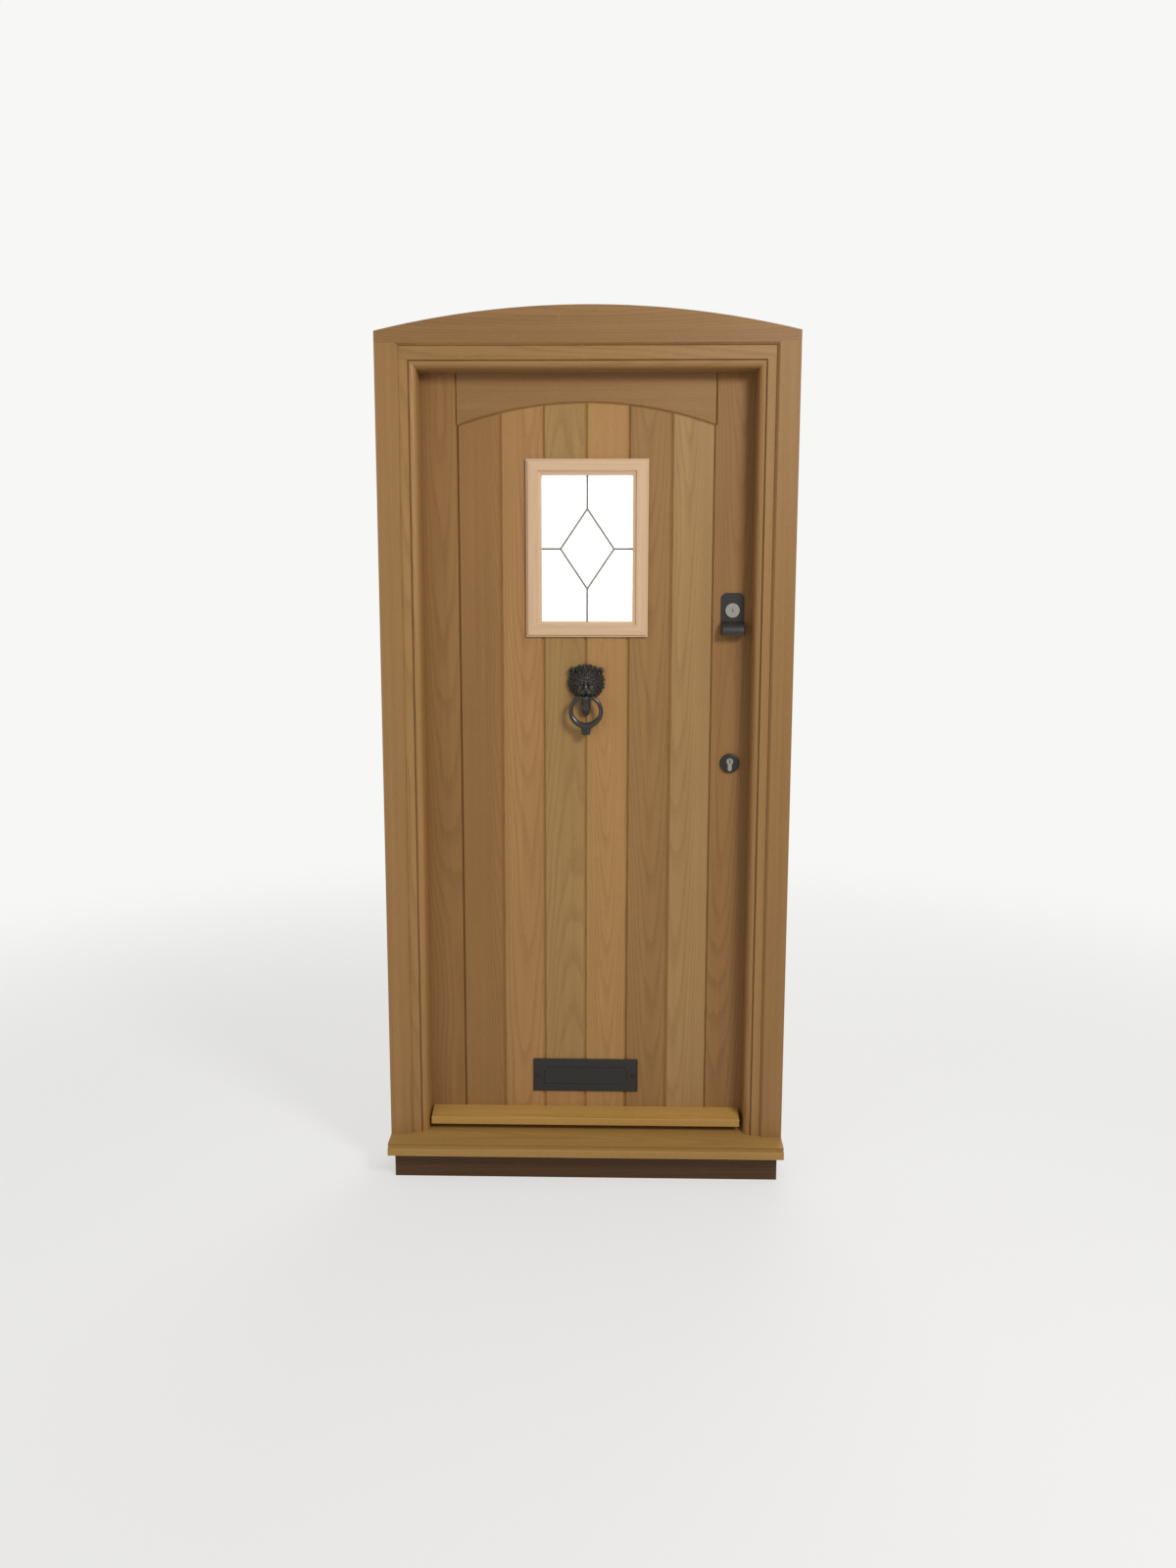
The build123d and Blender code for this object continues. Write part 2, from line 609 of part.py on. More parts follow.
def rail_tenons(tenon_y, tenon_z):
    left = box((BOARDS_LEFT - RAIL_TENON_LENGTH, BOARDS_LEFT), tenon_y, tenon_z)
    right = box((BOARDS_RIGHT, BOARDS_RIGHT + RAIL_TENON_LENGTH), tenon_y, tenon_z)
    return [left, right]


def stile(edge, inner, chamfer_side):
    """A stile with the groove for the boards, and an eased edge beside the top rail only."""
    low, high = sorted((edge, inner))
    piece = box((low, high), (LEAF_FACE_Y, LEAF_BACK_Y), (LEAF_FOOT_Z, LEAF_TOP_Z))
    depth = (TONGUE_LENGTH + TONGUE_SLACK) * chamfer_side
    groove = box(
        sorted((inner, inner + depth)), (TONGUE_Y, TONGUE_Y + TONGUE_THICKNESS), (LEAF_FOOT_Z, LEAF_TOP_Z)
    )
    eased = shape(
        (inner, LEAF_FACE_Y), (inner + V_DEPTH * chamfer_side, LEAF_FACE_Y), (inner, LEAF_FACE_Y + V_DEPTH)
    )
    return piece - groove - along_z(eased, SPRING_Z, LEAF_TOP_Z)


def top_rail():
    """The arched top rail, grooved for the tongues of the boards."""
    rail = box((BOARDS_LEFT, BOARDS_RIGHT), (LEAF_FACE_Y, LEAF_BACK_Y), (SPRING_Z, LEAF_TOP_Z))
    left, right = BOARDS_LEFT, BOARDS_RIGHT
    low = SPRING_Z - 1
    rail = rail - along_y(under_arch(0, low, left, right), LEAF_FACE_Y, LEAF_BACK_Y)
    front_arch = rail.edges().filter_by(GeomType.CIRCLE).sort_by(Axis.Y)[0]
    rail = chamfer(front_arch, TOP_RAIL_CHAMFER)
    groove = along_y(
        under_arch(TONGUE_LENGTH + TONGUE_SLACK, low, left, right), TONGUE_Y, TONGUE_Y + TONGUE_THICKNESS
    )
    return rail - groove


def weatherboard():
    """Sloped board with a rounded nose and a drip groove, across the foot of the leaf."""
    front = LEAF_FACE_Y - WEATHERBOARD_PROJECTION
    nose_top = WEATHERBOARD_FOOT_Z + WEATHERBOARD_NOSE
    drip = front + DRIP_SETBACK
    outline = shape(
        (LEAF_FACE_Y, WEATHERBOARD_FOOT_Z), (LEAF_FACE_Y, WEATHERBOARD_TOP_Z), (front, nose_top),
        (front, WEATHERBOARD_FOOT_Z), (drip, WEATHERBOARD_FOOT_Z), (drip, WEATHERBOARD_FOOT_Z + DRIP_DEPTH),
        (drip + DRIP_WIDTH, WEATHERBOARD_FOOT_Z + DRIP_DEPTH), (drip + DRIP_WIDTH, WEATHERBOARD_FOOT_Z),
    )
    left = -HALF_OPENING + WEATHERBOARD_HINGE_GAP
    right = HALF_OPENING - WEATHERBOARD_LOCK_GAP
    board = along_x(outline, left, right)
    nose = board.edges().filter_by(Axis.X).group_by(Axis.Y)[0]
    return fillet(nose, 2.5)


# Window
def framed(outline, half_width, half_height):
    """Four mitred lengths round a rectangle.

    The outline is a section as (distance from the rectangle's edge outwards, y).
    """
    pieces = []
    for half, other, turn in ((half_width, half_height, 0), (half_height, half_width, 90)):
        reach = other + BEAD_WIDTH * 4
        length = along_z(Pos(half, 0) * outline, -reach, reach)
        spread = BEAD_WIDTH * 4
        mitre = shape(
            (half, other), (half + spread, other + spread), (half + spread, -other - spread), (half, -other)
        )
        inner = shape((0, other), (half, other), (half, -other), (0, -other))
        length = length & along_y(mitre + inner, -FAR, FAR)
        for extra in (0, 180):
            pieces.append(Pos(0, 0, WINDOW_Z) * Rot(0, turn + extra, 0) * length)
    return pieces


def outside_bead_outline():
    """Raised bead: a rounded outer edge, a gentle fall to the glass and a tongue down to it."""
    proud = LEAF_FACE_Y - BEAD_PROUD
    low = proud + BEAD_INNER_EDGE / 2
    return make_face(
        Polyline(
            (BEAD_WIDTH, proud + BEAD_EDGE), (BEAD_WIDTH, LEAF_FACE_Y),
            (GLASS_EDGE_COVER, LEAF_FACE_Y), (GLASS_EDGE_COVER, GLASS_Y), (0, GLASS_Y),
            (0, low + 3), (BEAD_INNER_EDGE, low), (BEAD_INNER_EDGE + 1.5, proud),
            (BEAD_WIDTH - BEAD_EDGE, proud),
        )
        + RadiusArc((BEAD_WIDTH - BEAD_EDGE, proud), (BEAD_WIDTH, proud + BEAD_EDGE), BEAD_EDGE)
    )


def window_parts():
    """Beads, lining, two panes, spacer and lead strips."""
    outside = framed(outside_bead_outline(), SIGHT_WIDTH / 2, SIGHT_HEIGHT / 2)
    inner_glass_y = GLASS_Y + 2 * PANE_THICKNESS + PANE_GAP
    inside_outline = shape(
        (0, inner_glass_y), (0, LEAF_BACK_Y - 4), (4, LEAF_BACK_Y), (GLASS_EDGE_COVER, LEAF_BACK_Y),
        (GLASS_EDGE_COVER, inner_glass_y),
    )
    inside = framed(inside_outline, SIGHT_WIDTH / 2, SIGHT_HEIGHT / 2)
    lining_outline = shape(
        (0, LEAF_FACE_Y), (LINING_THICKNESS, LEAF_FACE_Y), (LINING_THICKNESS, BOARD_BACK_Y),
        (LINING_FLANGE, BOARD_BACK_Y), (LINING_FLANGE, LEAF_BACK_Y), (0, LEAF_BACK_Y),
    )
    lining = framed(lining_outline, GLASS_X, GLASS_Z)
    glass = box((-GLASS_X, GLASS_X), (GLASS_Y, GLASS_Y + PANE_THICKNESS), (WINDOW_Z - GLASS_Z, WINDOW_Z + GLASS_Z))
    second = Pos(0, PANE_THICKNESS + PANE_GAP, 0) * glass
    gap_y = (GLASS_Y + PANE_THICKNESS, GLASS_Y + PANE_THICKNESS + PANE_GAP)
    spacer = box((-GLASS_X, GLASS_X), gap_y, (WINDOW_Z - GLASS_Z, WINDOW_Z + GLASS_Z))
    rim = GLASS_EDGE_COVER - 1
    spacer = spacer - box(
        (rim - GLASS_X, GLASS_X - rim), gap_y, (WINDOW_Z - GLASS_Z + rim, WINDOW_Z + GLASS_Z - rim)
    )
    return outside, inside, lining, glass, second, spacer


def lead_strips():
    """Flat lead on the outer pane: a diamond tied to the middle of each side."""
    half_x, half_z = SIGHT_WIDTH / 2, SIGHT_HEIGHT / 2
    half = LEAD_WIDTH / 2
    reach_x = half * math.hypot(DIAMOND_HALF_WIDTH, DIAMOND_HALF_HEIGHT) / DIAMOND_HALF_HEIGHT
    reach_z = half * math.hypot(DIAMOND_HALF_WIDTH, DIAMOND_HALF_HEIGHT) / DIAMOND_HALF_WIDTH

    def diamond(grow):
        x = DIAMOND_HALF_WIDTH + grow * reach_x
        z = DIAMOND_HALF_HEIGHT + grow * reach_z
        return shape((x, 0), (0, z), (-x, 0), (0, -z))

    ties = Rectangle(LEAD_WIDTH, 2 * half_z) + Rectangle(2 * half_x, LEAD_WIDTH)
    flat = (diamond(1) + ties) - diamond(-1)
    return Pos(0, 0, WINDOW_Z) * along_y(flat, GLASS_Y - LEAD_THICKNESS, GLASS_Y)


# Knocker
def boss(base, tip, across, up, proud):
    """Tapering boss standing out from the back of the head, which is y = 0 here."""
    axis = Plane(origin=(across, 0, up), x_dir=(1, 0, 0), z_dir=(0, -1, 0))
    return axis * Pos(0, 0, proud / 2) * Cone(base, tip, proud)


def blunt(feature):
    """Takes the sharp edge off a boss's tip."""
    return chamfer(feature.edges().sort_by(Axis.Y)[0], TIP_ROUNDING)


def mane_row(count, spread, size, proud, lowest):
    """Curls of one row round the face, left out below a height beside the jaw."""
    curls = []
    for number in range(count):
        angle = math.radians(90 + (number + 0.5) * 360 / count)
        across, up = spread * math.cos(angle), spread * math.sin(angle)
        if up > lowest:
            curls.append(boss(size, size * CURL_TAPER, across, up, proud))
    return curls


def beard(half_width, top):
    """Flat-backed beard that narrows to a rounded tip inside the ring."""
    tip, foot = BEARD_TIP_RADIUS, top - BEARD_LENGTH
    outline = shape((-half_width, top), (half_width, top), (tip, foot), (-tip, foot))
    hair = along_y(outline, -BEARD_PROUD, 0)
    hair = fillet(hair.edges().filter_by(Axis.Y).group_by(Axis.Z)[0], BEARD_CORNER)
    return fillet(hair.edges().group_by(Axis.Y)[0].sort_by(Axis.Z)[:-1], BEARD_EDGE)


def lion_head():
    """Cast lion's head: three rows of curls, brow, cheeks, nose, muzzle, jaw and beard."""
    bar_y, bar_up = -RING_PROUD, CROSSBAR_RISE - RING_DROP
    muzzle_up = bar_up + RING_EYE_RADIUS + MUZZLE_RADIUS + JAW_GAP / 2
    jaw_half = CROSSBAR_HALF - RING_EYE_RADIUS - JAW_GAP
    muzzle = (MUZZLE_RADIUS, MUZZLE_TIP_RADIUS, MUZZLE_SPREAD, muzzle_up, MUZZLE_PROUD)
    nose_base, nose_tip, nose_rise, nose_proud = NOSE
    features = [boss(*SKULL), boss(nose_base, nose_tip, 0, muzzle_up + nose_rise, nose_proud)]
    for base, tip, across, up, proud in (BROW, EYE, CHEEK, muzzle, EAR):
        features += [boss(base, tip, side * across, up, proud) for side in (-1, 1)]
    bridge_width, bridge_proud, bridge_low, bridge_high = BRIDGE
    jaw_root = (bar_up - JAW_RADIUS + TIP_ROUNDING, bar_up + RING_EYE_RADIUS + MUZZLE_RADIUS)
    pieces = [
        *[blunt(feature) for feature in features],
        box((-bridge_width / 2, bridge_width / 2), (-bridge_proud, 0), (bridge_low, bridge_high)),
        rod_x(JAW_RADIUS, -jaw_half, jaw_half, bar_y, bar_up),
        box((JAW_INSET - jaw_half, jaw_half - JAW_INSET), (bar_y + TIP_ROUNDING, 0), jaw_root),
        beard(jaw_half, bar_up - TIP_ROUNDING),
        *mane_row(CROWN_CURL_COUNT, *CROWN_CURLS, 0),
        *mane_row(MIDDLE_CURL_COUNT, *MIDDLE_CURLS, muzzle_up),
        *mane_row(OUTER_CURL_COUNT, *OUTER_CURLS, -MANE_BACK_RADIUS),
    ]
    head = boss(MANE_BACK_RADIUS, MANE_FRONT_RADIUS, 0, 0, MANE_BACK_HEIGHT)
    for piece in pieces:
        head = head + piece
    head = head - rod_x(CROSSBAR_RADIUS + RUNNING_CLEARANCE, -CROSSBAR_HALF, CROSSBAR_HALF, bar_y, bar_up)
    head = head - rod_y(KNOCKER_BOLT_RADIUS, -KNOCKER_BOLT_DEPTH, 0, 0, 0)
    return Pos(KNOCKER_X, LEAF_FACE_Y, KNOCKER_Z) * head


def ring_arc(bar, half_angle):
    """Part of the ring either side of its foot, round the ring's centre."""
    spread = RING_OUTER_RADIUS - bar
    section = Plane(origin=(0, 0, -spread), x_dir=(0, 1, 0), z_dir=(1, 0, 0)) * Circle(bar)
    return revolve(section.rotate(Axis.Y, -half_angle), Axis.Y, 2 * half_angle)


def ring_taper(side):
    """Cone that carries the thick foot of the ring into the thinner bar."""
    spread, turn = RING_OUTER_RADIUS - RING_FOOT_RADIUS, math.radians(RING_FOOT_ANGLE)
    place = (side * spread * math.sin(turn), 0, -spread * math.cos(turn))
    along = (side * math.cos(turn), 0, math.sin(turn))
    cone = Cone(RING_FOOT_RADIUS, RING_FOOT_RADIUS / 2, RING_FOOT_TAPER)
    return Plane(origin=place, x_dir=(0, 1, 0), z_dir=along) * Pos(0, 0, RING_FOOT_TAPER / 2) * cone


def knocker_ring():
    """Ring that thickens towards its foot, on a straight crossbar, with a fluted striker below."""
    top_angle = math.degrees(math.asin(CROSSBAR_HALF / (RING_OUTER_RADIUS - RING_BAR_RADIUS)))
    ring = ring_arc(RING_BAR_RADIUS, 180 - top_angle) + ring_arc(RING_FOOT_RADIUS, RING_FOOT_ANGLE)
    ring = ring + rod_x(CROSSBAR_RADIUS, -CROSSBAR_HALF, CROSSBAR_HALF, 0, CROSSBAR_RISE)
    for side in (-1, 1):
        middle = side * CROSSBAR_HALF
        eye = rod_x(RING_EYE_RADIUS, middle - RING_EYE_RADIUS, middle + RING_EYE_RADIUS, 0, CROSSBAR_RISE)
        eye = chamfer(eye.edges().filter_by(GeomType.CIRCLE), RING_EYE_RADIUS / 3)
        ring = ring + ring_taper(side) + eye
    first = -(STRIKER_FLUTES - 1) / 2 * STRIKER_FLUTE_PITCH
    flute = Circle(STRIKER_FLUTE_RADIUS)
    flutes = Sketch() + [Pos(first + number * STRIKER_FLUTE_PITCH, 0) * flute for number in range(STRIKER_FLUTES)]
    ring = ring + along_z(flutes, -RING_OUTER_RADIUS - STRIKER_DROP, RING_FOOT_RADIUS - RING_OUTER_RADIUS)
    return Pos(KNOCKER_X, LEAF_FACE_Y - RING_PROUD, RING_CENTRE_Z) * ring


def striking_stud():
    """Stud that the striker meets, with a spike driven into the leaf."""
    z = RING_CENTRE_Z - RING_OUTER_RADIUS - STRIKER_DROP / 2
    front = LEAF_FACE_Y - RING_PROUD + STRIKER_FLUTE_RADIUS + STUD_CLEARANCE
    spike = rod_y(STUD_PIN_RADIUS, LEAF_FACE_Y, LEAF_FACE_Y + BOARD_THICKNESS * 0.8, KNOCKER_X, z)
    return rod_y(STUD_RADIUS, front, LEAF_FACE_Y, KNOCKER_X, z) + spike, spike


def through_bolt(radius, x, z, front, nut_face):
    """A bolt from y = front to its domed nut, which sits on the face y = nut_face."""
    bolt = rod_y(radius, front, nut_face + NUT_HEIGHT / 2, x, z)
    nut = along_y(Pos(x, z) * RegularPolygon(NUT_RADIUS, 6), nut_face, nut_face + NUT_HEIGHT)
    nut = chamfer(nut.faces().sort_by(Axis.Y)[-1].edges(), NUT_HEIGHT / 4)
    return bolt, nut - bolt


# Letter plate
def letter_parts():
    """Plate, flap with its pins, and the slot through the leaf."""
    half_z = LETTER_SIZE[1] / 2
    front = LEAF_FACE_Y - LETTER_THICKNESS
    plate = box((-PLATE_HALF, PLATE_HALF), (front, LEAF_FACE_Y), (-half_z, half_z))
    plate = chamfer(plate.faces().sort_by(Axis.Y)[0].edges(), LETTER_BEVEL)
    flap_x, flap_z = FLAP_SIZE[0] / 2, FLAP_SIZE[1] / 2
    plate = plate - box(
        (-flap_x - FLAP_GAP, flap_x + FLAP_GAP), (front, LEAF_FACE_Y), (-flap_z - FLAP_GAP, flap_z + FLAP_GAP)
    )
    axis_z = flap_z - FLAP_THICKNESS / 2
    axis_y = front + 1 + FLAP_THICKNESS / 2
    flap = box((-flap_x, flap_x), (front + 1, front + 1 + FLAP_THICKNESS), (-flap_z, axis_z))
    flap = flap + rod_x(FLAP_THICKNESS / 2, -flap_x, flap_x, axis_y, axis_z)
    reach = flap_x + FLAP_PIN_REACH
    flap = flap + rod_x(FLAP_PIN_RADIUS, -reach, reach, axis_y, axis_z)
    plate = plate - rod_x(FLAP_PIN_RADIUS + RUNNING_CLEARANCE, -reach - 1, reach + 1, axis_y, axis_z)
    slot_z = flap_z + SLOT_MARGIN
    slot = box((-SLOT_HALF, SLOT_HALF), (LEAF_FACE_Y, LEAF_BACK_Y), (-slot_z, slot_z))
    place = Pos(LETTER_X, 0, LETTER_Z)
    return place * plate, place * flap, place * slot


# Locks
def profile(grow):
    """Outline of the profile cylinder as (x, z) about its axis, made larger by grow."""
    foot = PROFILE_HEIGHT - PROFILE_RADIUS - PROFILE_WIDTH / 2
    return (
        Circle(PROFILE_RADIUS + grow)
        + Pos(0, -foot / 2) * Rectangle(PROFILE_WIDTH + 2 * grow, foot)
        + Pos(0, -foot) * Circle(PROFILE_WIDTH / 2 + grow)
    )


def dead_lock():
    """Mortice case, forend, bolt, cylinder, plug, cam and turn, and the recess in the stile."""
    case_x = (LEAF_EDGE_X - FOREND[0] - LOCK_CASE[0], LEAF_EDGE_X - FOREND[0])
    case_y = (LEAF_MID_Y - LOCK_CASE[1] / 2, LEAF_MID_Y + LOCK_CASE[1] / 2)
    case_z = (LOCK_Z - LOCK_CASE[2] / 2 + LOCK_CASE_RISE, LOCK_Z + LOCK_CASE[2] / 2 + LOCK_CASE_RISE)
    case = box(case_x, case_y, case_z)
    forend_y = (LEAF_MID_Y - FOREND[1] / 2, LEAF_MID_Y + FOREND[1] / 2)
    middle_z = LOCK_Z + LOCK_CASE_RISE
    forend = box((case_x[1], LEAF_EDGE_X), forend_y, (middle_z - FOREND[2] / 2, middle_z + FOREND[2] / 2))
    recess = case + forend
    bolt_z = LOCK_Z + DEAD_BOLT_RISE
    slack = SLIDE_CLEARANCE
    bolt_end = LEAF_EDGE_X - slack
    bolt = box(
        (bolt_end - DEAD_BOLT[0], bolt_end), (LEAF_MID_Y - DEAD_BOLT[1] / 2, LEAF_MID_Y + DEAD_BOLT[1] / 2),
        (bolt_z - DEAD_BOLT[2] / 2, bolt_z + DEAD_BOLT[2] / 2),
    )
    channel = box(
        (bolt_end - DEAD_BOLT[0] - slack, LEAF_EDGE_X),
        (LEAF_MID_Y - DEAD_BOLT[1] / 2 - slack, LEAF_MID_Y + DEAD_BOLT[1] / 2 + slack),
        (bolt_z - DEAD_BOLT[2] / 2 - slack, bolt_z + DEAD_BOLT[2] / 2 + slack),
    )
    cylinder_y = (LEAF_FACE_Y - CYLINDER_PROUD, LEAF_BACK_Y + CYLINDER_PROUD)
    cam_y = (LEAF_MID_Y - CAM_WIDTH / 2, LEAF_MID_Y + CAM_WIDTH / 2)
    here = Pos(LOCK_X, 0, LOCK_Z)
    bore = PLUG_RADIUS + RUNNING_CLEARANCE
    body = along_y(profile(0), *cylinder_y) - along_y(Circle(bore), *cylinder_y)
    body = body - box((-CAM_RADIUS, CAM_RADIUS), cam_y, (-CAM_RADIUS - slack, CAM_RADIUS))
    plug = along_y(Circle(PLUG_RADIUS), cylinder_y[0], cam_y[0] + slack)
    plug = plug - box(
        (-KEYWAY[0] / 2, KEYWAY[0] / 2), (cylinder_y[0], cylinder_y[0] + KEYWAY[2]), (-KEYWAY[1] / 2, KEYWAY[1] / 2)
    )
    cam = along_y(Circle(PROFILE_RADIUS), cam_y[0] + slack, cam_y[1] - slack)
    cam = cam + (
        box((-CAM_TOOTH / 2, CAM_TOOTH / 2), (cam_y[0] + slack, cam_y[1] - slack), (-CAM_RADIUS, 0))
        & along_y(Circle(CAM_RADIUS), cam_y[0], cam_y[1])
    )
    turn = along_y(Circle(PLUG_RADIUS), cam_y[1] - slack, cylinder_y[1] + TURN_COLLAR)
    grip = box(
        (-TURN_SIZE[0] / 2, TURN_SIZE[0] / 2),
        (cylinder_y[1] + TURN_COLLAR, cylinder_y[1] + TURN_COLLAR + TURN_SIZE[1]),
        (-TURN_SIZE[2] / 2, TURN_SIZE[2] / 2),
    )
    turn = turn + fillet(grip.edges().filter_by(Axis.Y), TURN_SIZE[0] / 2 - 0.5)
    hole = along_y(profile(SLIDE_CLEARANCE), cylinder_y[0] - 1, cylinder_y[1] + 1)
    cam_room = along_y(Circle(CAM_RADIUS + 1), cam_y[0], cam_y[1])
    case = case - channel - here * hole - here * cam_room
    forend = forend - channel
    screw_z = LOCK_Z - (PROFILE_HEIGHT - PROFILE_RADIUS) + 4.0
    screw = rod_x(2.0, LOCK_X - 2, LEAF_EDGE_X, LEAF_MID_Y, screw_z)
    room = rod_x(2.0 + RUNNING_CLEARANCE, LOCK_X - 2.1, LEAF_EDGE_X, LEAF_MID_Y, screw_z)
    case = case + forend - room
    body = here * body - room
    return {
        "case": case, "bolt": bolt, "body": body, "plug": here * plug,
        "cam": here * cam, "turn": here * turn, "screw": screw, "recess": recess, "hole": here * hole,
    }


def escutcheon(outside):
    """Round rose with a softened edge and a hole for the profile cylinder."""
    thick, edge = ESCUTCHEON_THICKNESS, ESCUTCHEON_EDGE
    half = make_face(
        Polyline(
            (ESCUTCHEON_RADIUS - edge, thick), (0, thick), (0, 0), (ESCUTCHEON_RADIUS, 0),
            (ESCUTCHEON_RADIUS, thick - edge),
        )
        + RadiusArc((ESCUTCHEON_RADIUS, thick - edge), (ESCUTCHEON_RADIUS - edge, thick), -edge)
    )
    rose = revolve(Plane.XZ * half, Axis.Z)
    centre_z = LOCK_Z - ESCUTCHEON_DROP
    if outside:
        rose = Pos(LOCK_X, LEAF_FACE_Y, centre_z) * Rot(90, 0, 0) * rose
    else:
        rose = Pos(LOCK_X, LEAF_BACK_Y, centre_z) * Rot(-90, 0, 0) * rose
    return rose - Pos(LOCK_X, 0, LOCK_Z) * along_y(profile(SLIDE_CLEARANCE), -FAR, FAR)


def night_latch():
    """Case, back plate, bolt, knob, snib, rim cylinder with its plug and tail bar, pull and keep."""
    wide, deep, tall = LATCH_CASE
    edge = LEAF_EDGE_X
    plate_y = (LEAF_BACK_Y, LEAF_BACK_Y + LATCH_PLATE)
    case_y = (plate_y[1], plate_y[1] + deep)
    z = (LATCH_Z - tall / 2, LATCH_Z + tall / 2)
    plate = box((edge - wide, edge), plate_y, z)
    case = box((edge - wide, edge), case_y, z)
    case = fillet(case.faces().sort_by(Axis.Y)[-1].edges(), LATCH_CASE_EDGE)
    slack = SLIDE_CLEARANCE
    bolt_y = (case_y[0] + 6, case_y[0] + 6 + LATCH_BOLT[1])
    bolt_z = (LATCH_Z - LATCH_BOLT[2] / 2, LATCH_Z + LATCH_BOLT[2] / 2)
    tip = edge - slack
    bolt_outline = shape(
        (tip - LATCH_BOLT[0], bolt_y[0]), (tip - LATCH_BOLT[0], bolt_y[1]), (tip - 9, bolt_y[1]),
        (tip, bolt_y[0] + 3), (tip, bolt_y[0]),
    )
    bolt = along_z(bolt_outline, *bolt_z)
    channel = box(
        (tip - LATCH_BOLT[0] - slack, edge), (bolt_y[0] - slack, bolt_y[1] + slack),
        (bolt_z[0] - slack, bolt_z[1] + slack),
    )
    case = case - channel
    face_y = case_y[1]
    spindle_bore = rod_y(SPINDLE_RADIUS + RUNNING_CLEARANCE, face_y - SPINDLE_LENGTH - 0.5, face_y, LOCK_X, LATCH_Z)
    case = case - spindle_bore
    knob = rod_y(SPINDLE_RADIUS, face_y - SPINDLE_LENGTH, face_y + 4, LOCK_X, LATCH_Z)
    grip = along_y(Circle(KNOB_RADIUS), face_y + slack, face_y + KNOB_LENGTH)
    grip = fillet(grip.edges().filter_by(GeomType.CIRCLE), 3.0)
    knob = knob + Pos(LOCK_X, 0, LATCH_Z) * grip
    snib_x = edge - wide + 20
    snib_y = (face_y - 3, face_y + SNIB_SIZE[1])
    snib_z = LATCH_Z - SNIB_DROP
    snib = box((snib_x - SNIB_SIZE[0] / 2, snib_x + SNIB_SIZE[0] / 2), snib_y, (snib_z - 3, snib_z + 3))
    track = box(
        (snib_x - SNIB_SIZE[0] / 2 - slack, snib_x + SNIB_SIZE[0] / 2 + SNIB_TRAVEL + slack),
        (face_y - 3 - slack, face_y), (snib_z - 3 - slack, snib_z + 3 + slack),
    )
    case = case - track
    tail_room = rod_y(TAIL_HOLE_RADIUS, plate_y[0], case_y[0] + TAIL_REACH + 1, LOCK_X, LATCH_Z)
    case, plate = case - tail_room, plate - tail_room
    front = LEAF_FACE_Y - PULL_THICKNESS
    body_back = LEAF_BACK_Y - RIM_BACK_GAP
    cylinder = rod_y(RIM_CYLINDER_RADIUS, front, body_back, LOCK_X, LATCH_Z)
    cylinder = cylinder + rod_y(RIM_FLANGE_RADIUS, front - RIM_FLANGE, front, LOCK_X, LATCH_Z)
    plug_bore = rod_y(PLUG_RADIUS + RUNNING_CLEARANCE, front - RIM_FLANGE, body_back, LOCK_X, LATCH_Z)
    cylinder = cylinder - plug_bore
    plug = rod_y(PLUG_RADIUS, front - RIM_FLANGE, body_back, LOCK_X, LATCH_Z)
    plug = plug - box(
        (LOCK_X - KEYWAY[0] / 2, LOCK_X + KEYWAY[0] / 2), (front - RIM_FLANGE, front - RIM_FLANGE + KEYWAY[2]),
        (LATCH_Z - KEYWAY[1] / 2, LATCH_Z + KEYWAY[1] / 2),
    )
    tail = box(
        (LOCK_X - TAIL_BAR[0] / 2, LOCK_X + TAIL_BAR[0] / 2), (body_back, case_y[0] + TAIL_REACH),
        (LATCH_Z - TAIL_BAR[1] / 2, LATCH_Z + TAIL_BAR[1] / 2),
    )
    plug = plug + tail
    screws = []
    for side in (-1, 1):
        x = LOCK_X + side * RIM_SCREW_OFFSET
        screw = rod_y(RIM_SCREW_RADIUS, body_back - 8, plate_y[1], x, LATCH_Z)
        room = rod_y(RIM_SCREW_RADIUS + RUNNING_CLEARANCE, body_back - 8.5, plate_y[1], x, LATCH_Z)
        cylinder, plate = cylinder - room, plate - room
        screws.append(screw)
    hole = rod_y(RIM_CYLINDER_RADIUS + slack, LEAF_FACE_Y, LEAF_BACK_Y, LOCK_X, LATCH_Z)
    return {
        "plate": plate, "case": case, "bolt": bolt, "knob": knob, "snib": snib, "cylinder": cylinder,
        "plug": plug, "screws": screws, "hole": hole, "bolt_y": bolt_y, "bolt_z": bolt_z,
    }


def cylinder_pull():
    """Iron plate round the rim cylinder, with a hood at its foot, open below, to draw the door shut by."""
    half = PULL_WIDTH / 2
    foot = PULL_TOP_Z - PULL_HEIGHT
    front = LEAF_FACE_Y - PULL_THICKNESS
    plate = box((-half, half), (front, LEAF_FACE_Y), (foot, PULL_TOP_Z))
    plate = fillet(plate.edges().filter_by(Axis.Y).group_by(Axis.Z)[-1], PULL_CORNER)
    wall = PULL_WALL

    def hood(shrink):
        reach, top, lip = front - PULL_LIP + shrink, foot + PULL_HOOD_HEIGHT - shrink, foot + PULL_LIP_HEIGHT
        bulge = math.sqrt(0.5)
        middle = (front - (front - reach) * bulge, lip + (top - lip) * bulge)
        return make_face(
            Polyline((reach, lip), (reach, foot), (front, foot), (front, top))
            + ThreePointArc((front, top), middle, (reach, lip))
        )

    shell = along_x(hood(0), -half, half)
    shell = fillet(shell.edges().filter_by(Axis.Z).group_by(Axis.Y)[0], wall)
    pull = plate + shell - along_x(hood(wall), -half + wall, half - wall)
    return Pos(LOCK_X, 0, 0) * pull - rod_y(RIM_CYLINDER_RADIUS + SLIDE_CLEARANCE, 0, LEAF_FACE_Y, LOCK_X, LATCH_Z)


